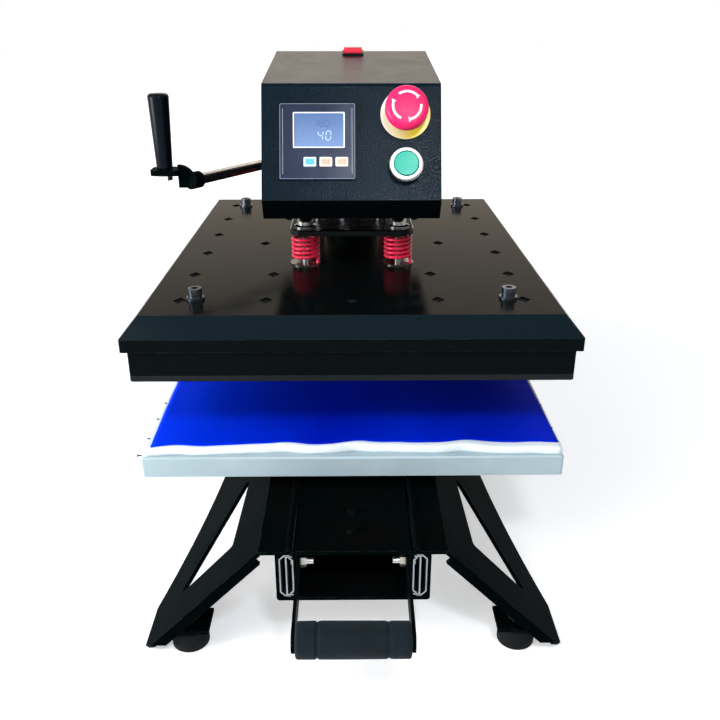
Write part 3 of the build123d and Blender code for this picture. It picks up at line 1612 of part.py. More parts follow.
# Mains inlet socket on the back of the head
with BuildPart() as power_inlet:
    with BuildSketch(facing_y(head_rear_y)):
        with Locations((inlet_x, inlet_z)):
            RectangleRounded(50, 24, 3)
    extrude(amount=-3)
    with BuildSketch(facing_y(head_rear_y)):
        with Locations((inlet_x, inlet_z)):
            Rectangle(28, 20)
    extrude(amount=20)
    with BuildSketch(facing_y(head_rear_y + 3)):
        with Locations((inlet_x, inlet_z)):
            RectangleRounded(24.5, 16.5, 2)
    extrude(amount=15, mode=Mode.SUBTRACT)
    with BuildSketch(facing_y(head_rear_y - 12)):
        with Locations((inlet_x - 7, inlet_z - 2), (inlet_x, inlet_z + 2), (inlet_x + 7, inlet_z - 2)):
            Rectangle(2, 4)
    extrude(amount=-10)
finish(power_inlet.part, "power_inlet")


# Side handle: a bright rod from the arm, a black bracket at its end, and a tapered grip that
# turns on its bolt
rod_z = arm_z + handle_rod_rise
rod_end = Vector(handle_end_x, handle_end_y, rod_z)
rod_root = Vector(-arm_width / 2, handle_rod_root_y, rod_z)
rod_run = rod_root - rod_end
rod_plane = Plane(origin=rod_end, x_dir=(0, 0, 1), z_dir=rod_run)
boss_radius = 9.0
boss_length = 14.0
with BuildPart() as swing_handle_rod:
    with BuildSketch(rod_plane):
        Circle(handle_rod_radius)
    extrude(amount=rod_run.length + 2 * handle_rod_radius)
    split(bisect_by=Plane(origin=(-arm_width / 2, 0, 0), z_dir=(1, 0, 0)), keep=Keep.BOTTOM)
finish(swing_handle_rod.part, "swing_handle_rod")

tab_z = rod_z + 7
tab_top_z = tab_z + bracket_tab_height
tab_left_x = grip_x - 14
tab_right_x = handle_end_x - 14
with BuildPart() as swing_handle_bracket:
    with BuildSketch(facing_y(handle_end_y + bracket_web / 2)):
        with BuildLine():
            Polyline(
                (tab_right_x, tab_z),
                (tab_right_x, rod_z - boss_radius + 2),
                (handle_end_x + 2, rod_z - boss_radius + 2),
                (handle_end_x + 2, rod_z + boss_radius - 1),
            )
            ThreePointArc(
                (handle_end_x + 2, rod_z + boss_radius - 1),
                (handle_end_x - 5, tab_top_z + 2),
                (tab_right_x, tab_top_z + 4),
            )
            Line((tab_right_x, tab_top_z + 4), (tab_right_x, tab_z))
        make_face()
    extrude(amount=bracket_web)
    with BuildSketch(Plane.XY.offset(tab_z)):
        with Locations(((tab_left_x + tab_right_x) / 2 + 2, handle_end_y)):
            RectangleRounded(tab_right_x - tab_left_x + 4, 26, 6)
        with Locations((grip_x, handle_end_y)):
            Circle(grip_axle_radius + press_fit, mode=Mode.SUBTRACT)
    extrude(amount=bracket_tab_height)
    with BuildSketch(rod_plane.offset(-3)):
        Circle(boss_radius)
    extrude(amount=boss_length)
    with BuildSketch(rod_plane):
        Circle(handle_rod_radius + press_fit)
    extrude(amount=boss_length + 10, mode=Mode.SUBTRACT)
finish(swing_handle_bracket.part, "swing_handle_bracket")

grip_foot_z = tab_top_z + screw_play
axle_top_z = grip_foot_z + grip_length - 12
with BuildPart() as swing_handle_bolt:
    with BuildSketch(Plane.XY.offset(tab_z)):
        with Locations((grip_x, handle_end_y)):
            RegularPolygon(radius=6.5, side_count=6, major_radius=False)
    extrude(amount=-6)
    with BuildSketch(Plane.XY.offset(tab_z)):
        with Locations((grip_x, handle_end_y)):
            Circle(grip_axle_radius)
    extrude(amount=axle_top_z - tab_z)
finish(swing_handle_bolt.part, "swing_handle_bolt")

grip_top_z = grip_foot_z + grip_length
with BuildPart() as swing_grip:
    with BuildSketch(side_plane(grip_x, handle_end_y)):
        with BuildLine():
            Polyline(
                (grip_axle_radius + running_fit, grip_foot_z),
                (grip_foot_radius - 0.8, grip_foot_z),
                (grip_foot_radius, grip_foot_z + 0.8),
                (grip_top_radius, grip_top_z - 4),
            )
            ThreePointArc(
                (grip_top_radius, grip_top_z - 4),
                (grip_top_radius - 1.2, grip_top_z - 1.4),
                (grip_top_radius - 4, grip_top_z - 0.4),
            )
            dome(grip_top_radius - 4, grip_top_z - 0.4, grip_top_z)
            Polyline(
                (0, grip_top_z),
                (0, axle_top_z + screw_play),
                (grip_axle_radius + running_fit, axle_top_z + screw_play),
                (grip_axle_radius + running_fit, grip_foot_z),
            )
        make_face()
    revolve(axis=Axis((grip_x, handle_end_y, 0), (0, 0, 1)))
finish(swing_grip.part, "swing_grip")
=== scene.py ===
import math

import bpy
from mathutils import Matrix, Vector


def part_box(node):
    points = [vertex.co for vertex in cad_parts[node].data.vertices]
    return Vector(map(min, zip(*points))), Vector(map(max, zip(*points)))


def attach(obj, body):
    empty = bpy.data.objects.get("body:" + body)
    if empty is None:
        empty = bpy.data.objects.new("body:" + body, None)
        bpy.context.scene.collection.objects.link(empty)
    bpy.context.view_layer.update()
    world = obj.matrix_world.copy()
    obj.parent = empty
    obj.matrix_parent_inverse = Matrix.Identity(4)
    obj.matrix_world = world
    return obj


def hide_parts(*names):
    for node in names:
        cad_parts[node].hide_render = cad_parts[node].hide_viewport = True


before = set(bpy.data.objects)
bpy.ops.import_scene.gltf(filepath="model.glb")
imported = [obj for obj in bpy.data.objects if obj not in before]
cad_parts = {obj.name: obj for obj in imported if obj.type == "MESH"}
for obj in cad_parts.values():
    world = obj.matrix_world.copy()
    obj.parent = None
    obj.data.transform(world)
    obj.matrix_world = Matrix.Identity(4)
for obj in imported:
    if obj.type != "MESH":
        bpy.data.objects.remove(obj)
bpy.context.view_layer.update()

MM = 0.001

# The control panel's frame, as the CAD has it: ACROSS runs along its lower edge, UP runs up the
# slope and OUT points out of it. Places on it are in millimetres from the middle of that edge.
PANEL_TILT = math.radians(23.5)
PANEL_FOOT_Y = -152 * MM
PANEL_FOOT_RISE = 19.5 * MM
PANEL_FOOT = Vector((0, PANEL_FOOT_Y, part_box("head_cover")[0].z + PANEL_FOOT_RISE))
ACROSS = Vector((1, 0, 0))
UP = Vector((0, math.sin(PANEL_TILT), math.cos(PANEL_TILT)))
OUT = Vector((0, -math.cos(PANEL_TILT), math.sin(PANEL_TILT)))
CONTROLLER = (-32.0, 55.0)
CONTROLLER_FACE = 3.5
DISPLAY = (-30.6, 65.5)
DISPLAY_FOOT, DISPLAY_TOP = 50, 81
ESTOP = (51.0, 81.0)
START = (51.0, 31.5)
KEY_UP = 35.4
KEY_TOP = CONTROLLER_FACE + 1.6

CAMERA_PLACE = (0.0, -0.899, 0.535)
CAMERA_PITCH = 23.5
CAMERA_HEADING = -0.6
FOCAL_PIXELS = 794.0
IMAGE_PIXELS = 720.0
SENSOR_WIDTH = 36.0


def on_panel(x, up, w):
    """A point given in millimetres across, up and out of the panel."""
    return PANEL_FOOT + (ACROSS * x + UP * up + OUT * w) * MM


# Materials


class Nodes:
    """Short ways to add nodes to a tree."""

    def __init__(self, tree):
        self.tree = tree

    def node(self, kind, inputs=None, **settings):
        made = self.tree.nodes.new(kind)
        for key, value in settings.items():
            setattr(made, key, value)
        for key, value in (inputs or {}).items():
            self.put(made.inputs[key], value)
        return made

    def put(self, socket, value):
        if isinstance(value, bpy.types.NodeSocket):
            self.tree.links.new(value, socket)
        else:
            socket.default_value = value

    def span(self, value, low, high, to_low=0.0, to_high=1.0):
        """value from low to high, as a share from 0 to 1 or between two other numbers."""
        inputs = {
            "Value": value,
            "From Min": low,
            "From Max": high,
            "To Min": to_low,
            "To Max": to_high,
        }
        return self.node("ShaderNodeMapRange", inputs, clamp=True).outputs[0]

    def math(self, operation, a, b=0.0):
        made = self.node("ShaderNodeMath", operation=operation)
        self.put(made.inputs[0], a)
        self.put(made.inputs[1], b)
        return made.outputs[0]

    def mix(self, share, a, b):
        made = self.node("ShaderNodeMix", data_type="RGBA")
        self.put(made.inputs[0], share)
        self.put(made.inputs[6], a if isinstance(a, bpy.types.NodeSocket) else (*a, 1))
        self.put(made.inputs[7], b if isinstance(b, bpy.types.NodeSocket) else (*b, 1))
        return made.outputs[2]

    def choose(self, share, a, b):
        """The shader a where share is 0, and b where it is 1."""
        return self.node("ShaderNodeMixShader", {0: share, 1: a, 2: b}).outputs[0]

    def ramp(self, value, first, last, between):
        """A colour over value: each step is its place from 0 to 1 and its colour."""
        made = self.node("ShaderNodeValToRGB", {0: value})
        steps = made.color_ramp.elements
        for step, (place, color) in ((steps[0], first), (steps[1], last)):
            step.position = place
            step.color = (*color, 1)
        for place, color in between:
            steps.new(place).color = (*color, 1)
        return made.outputs[0]

    def vector(self, operation, a, b, output="Vector"):
        made = self.node("ShaderNodeVectorMath", operation=operation)
        self.put(made.inputs[0], a)
        self.put(made.inputs[1], b)
        return made.outputs[output]

    def part(self, vector, axis):
        """One number of a vector: X, Y or Z."""
        return self.node("ShaderNodeSeparateXYZ", {"Vector": vector}).outputs[axis]


class Recipe(Nodes):
    """A new material. Its patterns are laid out in object metres."""

    def __init__(self, name):
        self.material = bpy.data.materials.new(name)
        self.material.use_nodes = True
        super().__init__(self.material.node_tree)
        self.shader = self.tree.nodes["Principled BSDF"]
        self.place = self.node("ShaderNodeTexCoord").outputs["Object"]

    def set(self, **values):
        for key, value in values.items():
            self.put(self.shader.inputs[key.replace("_", " ")], value)

    def stretched(self, x, y, z):
        return self.node("ShaderNodeMapping", {"Vector": self.place, "Scale": (x, y, z)}).outputs[0]

    def noise(self, scale, detail=2.0, place=None, roughness=0.5, distortion=0.0):
        inputs = {
            "Vector": place or self.place,
            "Scale": scale,
            "Detail": detail,
            "Roughness": roughness,
            "Distortion": distortion,
        }
        return self.node("ShaderNodeTexNoise", inputs).outputs["Fac"]

    def cells(self, scale, smooth):
        inputs = {"Vector": self.place, "Scale": scale, "Smoothness": smooth}
        return self.node("ShaderNodeTexVoronoi", inputs, feature="SMOOTH_F1").outputs["Distance"]

    def bump(self, height, distance, strength, normal=None):
        inputs = {"Height": height, "Strength": strength, "Distance": distance}
        made = self.node("ShaderNodeBump", inputs)
        if normal is not None:
            self.put(made.inputs["Normal"], normal)
        return made.outputs[0]

    def edges(self, radius):
        """1 along convex and concave edges of the shape, 0 on its faces."""
        rounded = self.node("ShaderNodeBevel", {"Radius": radius}, samples=4).outputs[0]
        sharp = self.node("ShaderNodeNewGeometry").outputs["Normal"]
        bend = self.math("SUBTRACT", 1.0, self.vector("DOT_PRODUCT", rounded, sharp, "Value"))
        return self.span(bend, 0.002, 0.06)

    def up(self):
        """How far a face looks up: 1 on a level top, 0 on an upright side."""
        return self.part(self.node("ShaderNodeNewGeometry").outputs["Normal"], "Z")

    def out_of_panel(self):
        """How far a point lies out of the panel, in metres."""
        along = self.vector("DOT_PRODUCT", self.place, OUT, "Value")
        return self.math("SUBTRACT", along, PANEL_FOOT.dot(OUT))

    def panel_distance(self, x, up):
        """How far a point lies from an axis that stands on the panel, in metres."""
        away = self.vector("SUBTRACT", self.place, on_panel(x, up, 0))
        squares = [
            self.math("POWER", self.vector("DOT_PRODUCT", away, axis, "Value"), 2.0)
            for axis in (ACROSS, UP)
        ]
        return self.math("SQRT", self.math("ADD", *squares))


def times(color, by):
    return tuple(min(1.0, c * by) for c in color)


def powder_coat(
    name, rough, shine, dust=0.010, tone=(0.0012, 0.0036, 0.0042), slope=None, dented=False
):
    """Black sprayed and baked paint.

    tone is its colour on upright faces. Faces that look down are darker, which is painted shade,
    and slope is a lighter colour on sloping faces, which is a painted sheen. dust is how light the
    dust on level faces is. dented gives it the small dents of a structured coat.
    """
    r = Recipe(name)
    cloud = r.noise(9, 3)
    up = r.up()
    level = r.span(up, 0.80, 0.97)
    paint = r.mix(r.span(cloud, 0.35, 0.7), tone, times(tone, 1.5))
    # Faces that look down are darker: painted shade.
    paint = r.mix(r.span(up, -0.1, 0.1), (0.0008, 0.0016, 0.002), paint)
    # Sloping faces take the lighter slope colour: a painted sheen.
    if slope:
        sloping = r.math("MULTIPLY", r.span(up, 0.4, 0.6), r.span(up, 0.95, 0.85))
        paint = r.mix(sloping, paint, slope)
    patches = r.span(r.noise(30, 4), 0.35, 0.75)
    dusty = r.mix(level, paint, r.mix(patches, paint, (dust, dust * 0.85, dust * 0.72)))
    specks = r.math("MULTIPLY", r.span(r.noise(420, 2), 0.74, 0.82), 0.06)
    dusty = r.mix(specks, dusty, (0.2, 0.2, 0.2))
    chips = r.math("MULTIPLY", r.edges(0.0009), r.span(r.noise(160, 4, roughness=0.7), 0.44, 0.62))
    r.set(Base_Color=r.mix(r.math("MULTIPLY", chips, 0.5), dusty, (0.045, 0.047, 0.05)))
    smudge = r.noise(26, 4, distortion=0.8)
    r.set(Roughness=r.span(smudge, 0.3, 0.75, rough - 0.04, rough + 0.08))
    normal = r.bump(r.noise(520, 2), 0.00035, 0.10)
    normal = r.bump(r.noise(1400, 2), 0.00008, 0.22, normal)
    if dented:
        dents = r.math("ADD", r.cells(760, 0.3), r.math("MULTIPLY", r.noise(1100, 2), 0.8))
        normal = r.bump(dents, 0.00014, 1.0, normal)
    r.set(Normal=normal, Specular_IOR_Level=shine)
    return r.material


SCRATCHES = {"Y": (900, 14, 900), "Z": (900, 900, 14), None: (600, 600, 600)}


def bare_metal(name, color, rough, along, tint, stains=0.15):
    """Plated or machined metal: fine scratches along Y or Z or every way, and tinted stains."""
    r = Recipe(name)
    scratch = r.noise(1.0, 2, r.stretched(*SCRATCHES[along]))
    cloud = r.noise(34, 4, distortion=1.2)
    r.set(
        Base_Color=r.mix(r.span(cloud, 0.4, 0.75, 0.0, stains * 4), color, tint),
        Metallic=1.0,
        Roughness=r.span(cloud, 0.3, 0.75, rough, rough + 0.14),
        Normal=r.bump(scratch, 0.00006, 0.35),
    )
    return r.material


def moulded(name, color, rough, grain, scale, coat=0.0, see_in=0.0, shine=0.5):
    """Plastic or rubber with a moulded surface, whose grain is that strong and that fine."""
    r = Recipe(name)
    cloud = r.noise(30, 3)
    scuff = r.math("MULTIPLY", r.edges(0.0006), r.span(r.noise(240, 3), 0.5, 0.65, 0, 0.4))
    tone = r.mix(r.span(cloud, 0.35, 0.7), color, times(color, 1.12))
    r.set(
        Base_Color=r.mix(scuff, tone, tuple(min(1.0, c * 1.5 + 0.015) for c in color)),
        Roughness=r.span(cloud, 0.3, 0.7, rough, rough + 0.1),
        Normal=r.bump(r.noise(scale, 3), 0.00012, grain),
        Coat_Weight=coat,
        Coat_Roughness=0.06,
        Subsurface_Weight=see_in,
        Subsurface_Scale=0.002,
        Specular_IOR_Level=shine,
    )
    return r.material


def two_tone(name, outer, inner, low, high, painted_highlight=None):
    """Moulded plastic, in the inner colour from low to high millimetres out of the panel.

    Elsewhere it has the outer colour, which is paler at its left side, a painted highlight.
    """
    r = Recipe(name)
    if painted_highlight:
        # Paler towards the left: a painted highlight.
        outer = r.mix(r.span(r.part(r.place, "X"), 0.034, 0.058), painted_highlight, outer)
    w = r.out_of_panel()
    above = r.span(w, (low - 0.05) * MM, (low + 0.05) * MM)
    below = r.span(w, (high + 0.05) * MM, (high - 0.05) * MM)
    share = r.math("MULTIPLY", above, below)
    cloud = r.noise(60, 3)
    tone = r.mix(r.span(cloud, 0.3, 0.7, 0, 0.12), outer, (0.6, 0.55, 0.35))
    r.set(
        Base_Color=r.mix(share, inner, tone),
        Roughness=r.span(cloud, 0.3, 0.7, 0.28, 0.38),
        Normal=r.bump(r.noise(1800, 2), 0.0001, 0.12),
        Coat_Weight=0.15,
        Coat_Roughness=0.1,
    )
    return r.material


def cap_green(name):
    """The start button's cap: green, with painted shade in the groove along its rim."""
    r = Recipe(name)
    # The dark band in the groove along the rim is painted shade.
    rim = r.span(r.panel_distance(*START), 0.0106, 0.0113)
    cloud = r.noise(60, 3)
    tone = r.mix(r.span(cloud, 0.3, 0.7), (0.0, 0.41, 0.27), (0.0, 0.46, 0.31))
    r.set(
        Base_Color=r.mix(rim, tone, (0.0, 0.13, 0.12)),
        Roughness=r.span(cloud, 0.3, 0.7, 0.22, 0.32),
        Specular_IOR_Level=0.12,
        Subsurface_Weight=0.05,
        Subsurface_Scale=0.002,
        Normal=r.bump(r.noise(1500, 3), 0.00012, 0.08),
    )
    return r.material


def slab_aluminium(name):
    """The lower platen: pale, finely machined, with faint marks."""
    r = Recipe(name)
    streak = r.noise(1.0, 3, r.stretched(10, 480, 480))
    cloud = r.noise(12, 4, distortion=0.6)
    marks = r.span(r.noise(70, 5, roughness=0.75), 0.58, 0.72, 0, 0.6)
    tone = r.mix(r.span(cloud, 0.35, 0.7), (0.36, 0.47, 0.51), (0.43, 0.54, 0.58))
    tone = r.mix(r.span(streak, 0.4, 0.7, 0, 0.25), tone, (0.41, 0.50, 0.53))
    r.set(
        Base_Color=r.mix(marks, tone, (0.42, 0.49, 0.52)),
        Metallic=0.15,
        Roughness=r.span(cloud, 0.3, 0.7, 0.42, 0.58),
        Normal=r.bump(streak, 0.00005, 0.4),
    )
    return r.material


def sponge(name):
    """White silicone foam with fine pores, a little soiled."""
    r = Recipe(name)
    pores = r.cells(1900, 0.3)
    cloud = r.noise(18, 4)
    soil = r.span(r.noise(42, 5, roughness=0.7), 0.62, 0.78, 0, 0.3)
    tone = r.mix(r.span(cloud, 0.3, 0.7), (0.80, 0.88, 0.91), (0.88, 0.92, 0.94))
    r.set(
        Base_Color=r.mix(soil, tone, (0.66, 0.72, 0.75)),
        Roughness=0.78,
        Subsurface_Weight=0.12,
        Subsurface_Scale=0.004,
        Sheen_Weight=0.15,
        Normal=r.bump(r.noise(90, 3), 0.0006, 0.3, r.bump(pores, 0.0002, 0.5)),
    )
    return r.material


def blue_film(name):
    """A coated cloth sheet: a fine weave under a smooth blue coat, with soft creases and painted
    light.
    """
    r = Recipe(name)
    threads = {"Vector": r.place, "Scale": 330.0}
    warp = r.node("ShaderNodeTexWave", threads, bands_direction="X").outputs["Fac"]
    weft = r.node("ShaderNodeTexWave", threads, bands_direction="Y").outputs["Fac"]
    weave = r.math("MULTIPLY", warp, weft)
    cloud = r.noise(7, 3, distortion=1.0)
    # Lighter at the left side and darker towards the right: painted light and shade.
    across = r.part(r.place, "X")
    tone = r.mix(r.span(across, -0.19, -0.03), (0.0, 0.040, 0.98), (0.0, 0.008, 0.45))
    tone = r.mix(r.span(cloud, 0.3, 0.7, 0, 0.35), tone, (0.0, 0.040, 0.95))
    r.set(
        Base_Color=r.mix(r.math("MULTIPLY", weave, 0.12), tone, (0.0, 0.02, 0.6)),
        Roughness=r.span(cloud, 0.3, 0.7, 0.30, 0.42),
        Specular_IOR_Level=0.006,
        Normal=r.bump(r.noise(16, 3, distortion=0.6), 0.004, 0.25, r.bump(weave, 0.00008, 0.25)),
    )
    return r.material


def foam_rubber(name, color):
    """Black cellular rubber, dull and full of pores."""
    r = Recipe(name)
    pores = r.cells(2300, 0.25)
    cloud = r.noise(40, 4)
    r.set(
        Base_Color=r.mix(r.span(cloud, 0.35, 0.7), color, times(color, 1.5)),
        Roughness=0.86,
        Specular_IOR_Level=0.15,
        Sheen_Weight=0.04,
        Sheen_Roughness=0.5,
        Normal=r.bump(r.noise(150, 4), 0.0008, 0.3, r.bump(pores, 0.0003, 0.6)),
    )
    return r.material


def screen(name):
    """The backlit display: a pale blue field, brighter towards its foot."""
    r = Recipe(name)
    foot, top = (on_panel(0, up, 3).z for up in (DISPLAY_FOOT, DISPLAY_TOP))
    rise = r.span(r.part(r.place, "Z"), foot, top)
    field = r.mix(rise, (0.15, 0.25, 0.46), (0.06, 0.13, 0.29))
    grid = r.noise(900, 1)
    r.set(
        Base_Color=r.mix(r.span(grid, 0.4, 0.6, 0, 0.12), field, (0.25, 0.36, 0.6)),
        Roughness=0.12,
        Coat_Weight=0.6,
        Coat_Roughness=0.03,
        Emission_Color=r.mix(rise, (0.11, 0.20, 0.40), (0.06, 0.12, 0.26)),
        Emission_Strength=0.28,
        Normal=r.bump(grid, 0.00003, 0.1),
    )
    return r.material


def clear_glass(name):
    """The gauge's glass, with faint smudges."""
    r = Recipe(name)
    r.set(
        Base_Color=(0.97, 0.98, 1.0, 1),
        Roughness=r.span(r.noise(50, 3), 0.3, 0.8, 0.02, 0.06),
        Transmission_Weight=1.0,
        IOR=1.45,
        Normal=r.bump(r.noise(8, 1), 0.00005, 0.1),
    )
    return r.material


BLACK = (0.003, 0.0035, 0.0045)
RED = (0.86, 0.014, 0.125)
frame_paint = powder_coat(
    "frame_black_coat", rough=0.30, shine=0.0015, dust=0.003, tone=(0.0008, 0.0024, 0.0028)
)
post_paint = powder_coat("post_gloss_coat", rough=0.22, shine=0.07, dust=0.006)
# The cover's sloping faces get a lighter colour, a painted sheen.
cover_paint = powder_coat(
    "cover_gloss_coat", rough=0.13, shine=0.026, dust=0.004, slope=(0.0058, 0.0120, 0.0165)
)
head_paint = powder_coat(
    "panel_fine_coat",
    rough=0.19,
    shine=0.052,
    dust=0.007,
    tone=(0.0022, 0.0084, 0.0145),
    dented=True,
)
plate_black = bare_metal("blued_plate", (0.010, 0.012, 0.013), 0.20, None, (0.006, 0.007, 0.008))
dark_oxide = bare_metal("dark_oxide_screw", (0.10, 0.12, 0.15), 0.26, None, (0.06, 0.07, 0.09))
zinc = bare_metal("bright_zinc", (0.66, 0.68, 0.71), 0.24, None, (0.55, 0.57, 0.52))
slide_zinc = bare_metal("slide_zinc", (0.34, 0.36, 0.37), 0.30, "Y", (0.22, 0.23, 0.23))
chrome = bare_metal("polished_chrome", (0.30, 0.31, 0.32), 0.12, None, (0.16, 0.165, 0.17), 0.20)
rod_chrome = bare_metal("ground_guide_rod", (0.10, 0.10, 0.11), 0.16, "Z", (0.06, 0.06, 0.07), 0.05)
handle_steel = bare_metal("brushed_handle_rod", (0.23, 0.215, 0.19), 0.22, "Y", (0.15, 0.14, 0.125))
cast_aluminium = bare_metal("satin_aluminium", (0.62, 0.63, 0.65), 0.34, "Z", (0.52, 0.53, 0.54))
coated_aluminium = powder_coat(
    "dark_heater_coat", rough=0.4, shine=0.1, tone=(0.010, 0.013, 0.014)
)
bronze = bare_metal("bearing_bronze", (0.55, 0.36, 0.16), 0.30, "Z", (0.40, 0.24, 0.10))
slab = slab_aluminium("pale_platen")
spring_red = moulded(
    "red_spring_enamel", (0.62, 0.006, 0.045), 0.22, 0.25, 900, coat=0.1, shine=0.35
)
rubber = moulded("black_rubber", (0.006, 0.007, 0.008), 0.62, 0.5, 900, shine=0.1)
grip_rubber = moulded("grip_gloss_black", (0.0025, 0.0045, 0.0075), 0.14, 0.15, 700, shine=0.06)
black_plastic = moulded("black_plastic", (0.006, 0.007, 0.009), 0.38, 0.3, 1300, shine=0.15)
controller_plastic = moulded(
    "controller_plastic", (0.008, 0.019, 0.047), 0.16, 0.06, 1800, shine=0.33
)
red_plastic = moulded("mushroom_red", RED, 0.34, 0.08, 1800, see_in=0.08, shine=0.22)
rocker_red = moulded("rocker_red", (0.80, 0.010, 0.045), 0.2, 0.1, 1500, coat=0.3, see_in=0.05)
green_plastic = cap_green("button_green")
# The insulation board seen through the vents is made near black: painted shade.
board = moulded("painted_shade_board", (0.010, 0.010, 0.011), 0.85, 0.8, 500, shine=0.05)
white_print = moulded("white_inlay", (0.88, 0.86, 0.90), 0.35, 0.05, 1500)
grey_print = moulded("grey_inlay", (0.06, 0.065, 0.07), 0.4, 0.05, 1500)
frame_line = moulded("frame_line", (0.26, 0.29, 0.36), 0.35, 0.05, 1500)
digit_dark = moulded("digit_dark_blue", (0.035, 0.07, 0.30), 0.3, 0.03, 1500)
digit_pale = moulded("digit_pale_blue", (0.42, 0.58, 0.95), 0.3, 0.03, 1500)
sponge_white = sponge("white_sponge")
film_blue = blue_film("blue_film")
foam = foam_rubber("foam_roller", (0.0038, 0.0088, 0.0125))
display_face = screen("display_face")
glass = clear_glass("gauge_glass")
# The ring's left side is painted paler, a painted highlight.
estop_yellow = two_tone(
    "yellow_ring", (0.96, 0.78, 0.045), BLACK, -0.2, 1.75, painted_highlight=(0.90, 0.90, 0.66)
)
start_cream = two_tone("cream_ring", (0.90, 0.90, 0.84), BLACK, 10.2, 30.0)
key_cyan = moulded("key_cyan", (0.10, 0.50, 0.70), 0.3, 0.05, 1500)
key_orange = moulded("key_orange", (0.76, 0.46, 0.31), 0.3, 0.05, 1500)
key_line = moulded("key_line", (0.30, 0.16, 0.12), 0.35, 0.05, 1500)
key_line_blue = moulded("key_line_blue", (0.03, 0.16, 0.30), 0.35, 0.05, 1500)
key_frame = moulded("key_frame", (0.82, 0.70, 0.62), 0.35, 0.05, 1500)
key_frame_cyan = moulded("key_frame_cyan", (0.60, 0.78, 0.84), 0.35, 0.05, 1500)

NODE_MATERIALS = {
    frame_paint: (
        "base_deck left_leg_plate right_leg_plate carriage platen_riser handle_bar head_base_plate"
        " swing_handle_bracket carriage_bolts"
    ),
    post_paint: "column swing_hub swing_arm",
    cover_paint: "platen_cover platen_skirt",
    head_paint: "head_cover",
    plate_black: "pressing_plate",
    dark_oxide: "platen_screws cover_screws",
    zinc: "foot_studs column_bolts handle_screws swing_handle_bolt",
    slide_zinc: "outer_slides middle_slides inner_slides",
    rubber: "rubber_feet drawer_bumpers",
    slab: "lower_platen",
    bronze: "swing_bushes guide_bushes",
    cast_aluminium: "air_cylinder air_regulator",
    black_plastic: (
        "solenoid_valve power_inlet fuse_holder rocker_housing regulator_knob pressure_gauge"
    ),
    controller_plastic: "controller_housing",
    display_face: "controller_display",
    estop_yellow: "estop_base",
    start_cream: "start_bezel",
    rod_chrome: "piston_rod guide_rods",
    handle_steel: "swing_handle_rod",
    chrome: "spring_bolts",
    spring_red: "press_springs",
    board: "insulation_board",
    coated_aluminium: "heater_platen",
    red_plastic: "estop_mushroom estop_stem",
    rocker_red: "power_rocker",
    green_plastic: "start_button",
    key_frame_cyan: "key_left",
    key_frame: "key_middle key_right",
    grip_rubber: "swing_grip",
}
for material, names in NODE_MATERIALS.items():
    for name in names.split():
        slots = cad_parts[name].data.materials
        slots.clear()
        slots.append(material)


# Pieces


def piece(name, points, faces, material, body, slot, smooth=True):
    """A new mesh that rides on a body. Its slot is not used."""
    mesh = bpy.data.meshes.new(name)
    mesh.from_pydata([tuple(p) for p in points], [], faces)
    mesh.validate()
    mesh.polygons.foreach_set("use_smooth", [smooth] * len(mesh.polygons))
    mesh.materials.append(material)
    made = bpy.data.objects.new(name, mesh)
    bpy.context.scene.collection.objects.link(made)
    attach(made, body)
    return made


def strip(first, second, count):
    """Quads between two closed rows of points, from the index of each row's first point."""
    return [
        (first + i, first + (i + 1) % count, second + (i + 1) % count, second + i)
        for i in range(count)
    ]


def flipped(faces):
    return [tuple(reversed(f)) for f in faces]


def circle(steps):
    """Cosine and sine of equal steps round a circle, anticlockwise."""
    return [
        (math.cos(2 * math.pi * i / steps), math.sin(2 * math.pi * i / steps))
        for i in range(steps)
    ]


def add_turned(points, faces, rings, steps, place, flip=False):
    """Adds a turned body with closed ends. rings gives each ring's radius and height, and place
    turns these, a cosine and a sine into a point."""
    base = len(points)
    for radius, height in rings:
        points += [place(radius, height, c, s) for c, s in circle(steps)]
    last = base + (len(rings) - 1) * steps
    made = []
    for start in range(base, last, steps):
        made += strip(start, start + steps, steps)
    made.append(tuple(range(last, last + steps)))
    made.append(tuple(reversed(range(base, base + steps))))
    faces += flipped(made) if flip else made


def rounded_outline(width, length, radius, steps=5):
    """The outline of a rectangle with round corners, anticlockwise."""
    points = []
    for quarter, (sx, sy) in enumerate(((1, 1), (-1, 1), (-1, -1), (1, -1))):
        for i in range(steps + 1):
            a = math.radians(90 * quarter + 90 * i / steps)
            x = sx * (width / 2 - radius) + radius * math.cos(a)
            y = sy * (length / 2 - radius) + radius * math.sin(a)
            points.append((x, y))
    return points


def shrunk(outline, by):
    """The outline moved in by a small distance towards its middle."""
    cx = sum(p[0] for p in outline) / len(outline)
    cy = sum(p[1] for p in outline) / len(outline)
    result = []
    for x, y in outline:
        size = math.hypot(x - cx, y - cy) or 1
        result.append((x - (x - cx) / size * by, y - (y - cy) / size * by))
    return result


def plate(name, outline, place, low, high, material, body, slot, bevel=0.1):
    """A thin plate with a small bevel round its top. place turns x, y and height into a point."""
    count = len(outline)
    inner = shrunk(outline, bevel)
    points = [place(x, y, low) for x, y in outline]
    points += [place(x, y, high - bevel) for x, y in outline]
    points += [place(x, y, high) for x, y in inner]
    faces = strip(0, count, count) + strip(count, 2 * count, count)
    faces.append(tuple(range(2 * count, 3 * count)))
    faces.append(tuple(reversed(range(count))))
    piece(name, points, faces, material, body, slot, smooth=False)


def ring_plate(name, outer, inner, place, low, high, material, body, slot):
    """A flat frame between two outlines with the same number of points."""
    count = len(outer)
    points = [place(x, y, h) for h in (low, high) for row in (outer, inner) for x, y in row]
    a, b, c, d = 0, count, 2 * count, 3 * count
    faces = strip(a, c, count) + strip(c, d, count) + strip(d, b, count) + strip(b, a, count)
    piece(name, points, faces, material, body, slot, smooth=False)


# Soft pieces: the sponge pad, the blue sheet on it and the foam roller of the pull handle

PAD_LOW, PAD_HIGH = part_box("foam_pad")
SHEET_LOW, SHEET_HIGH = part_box("blue_sheet")


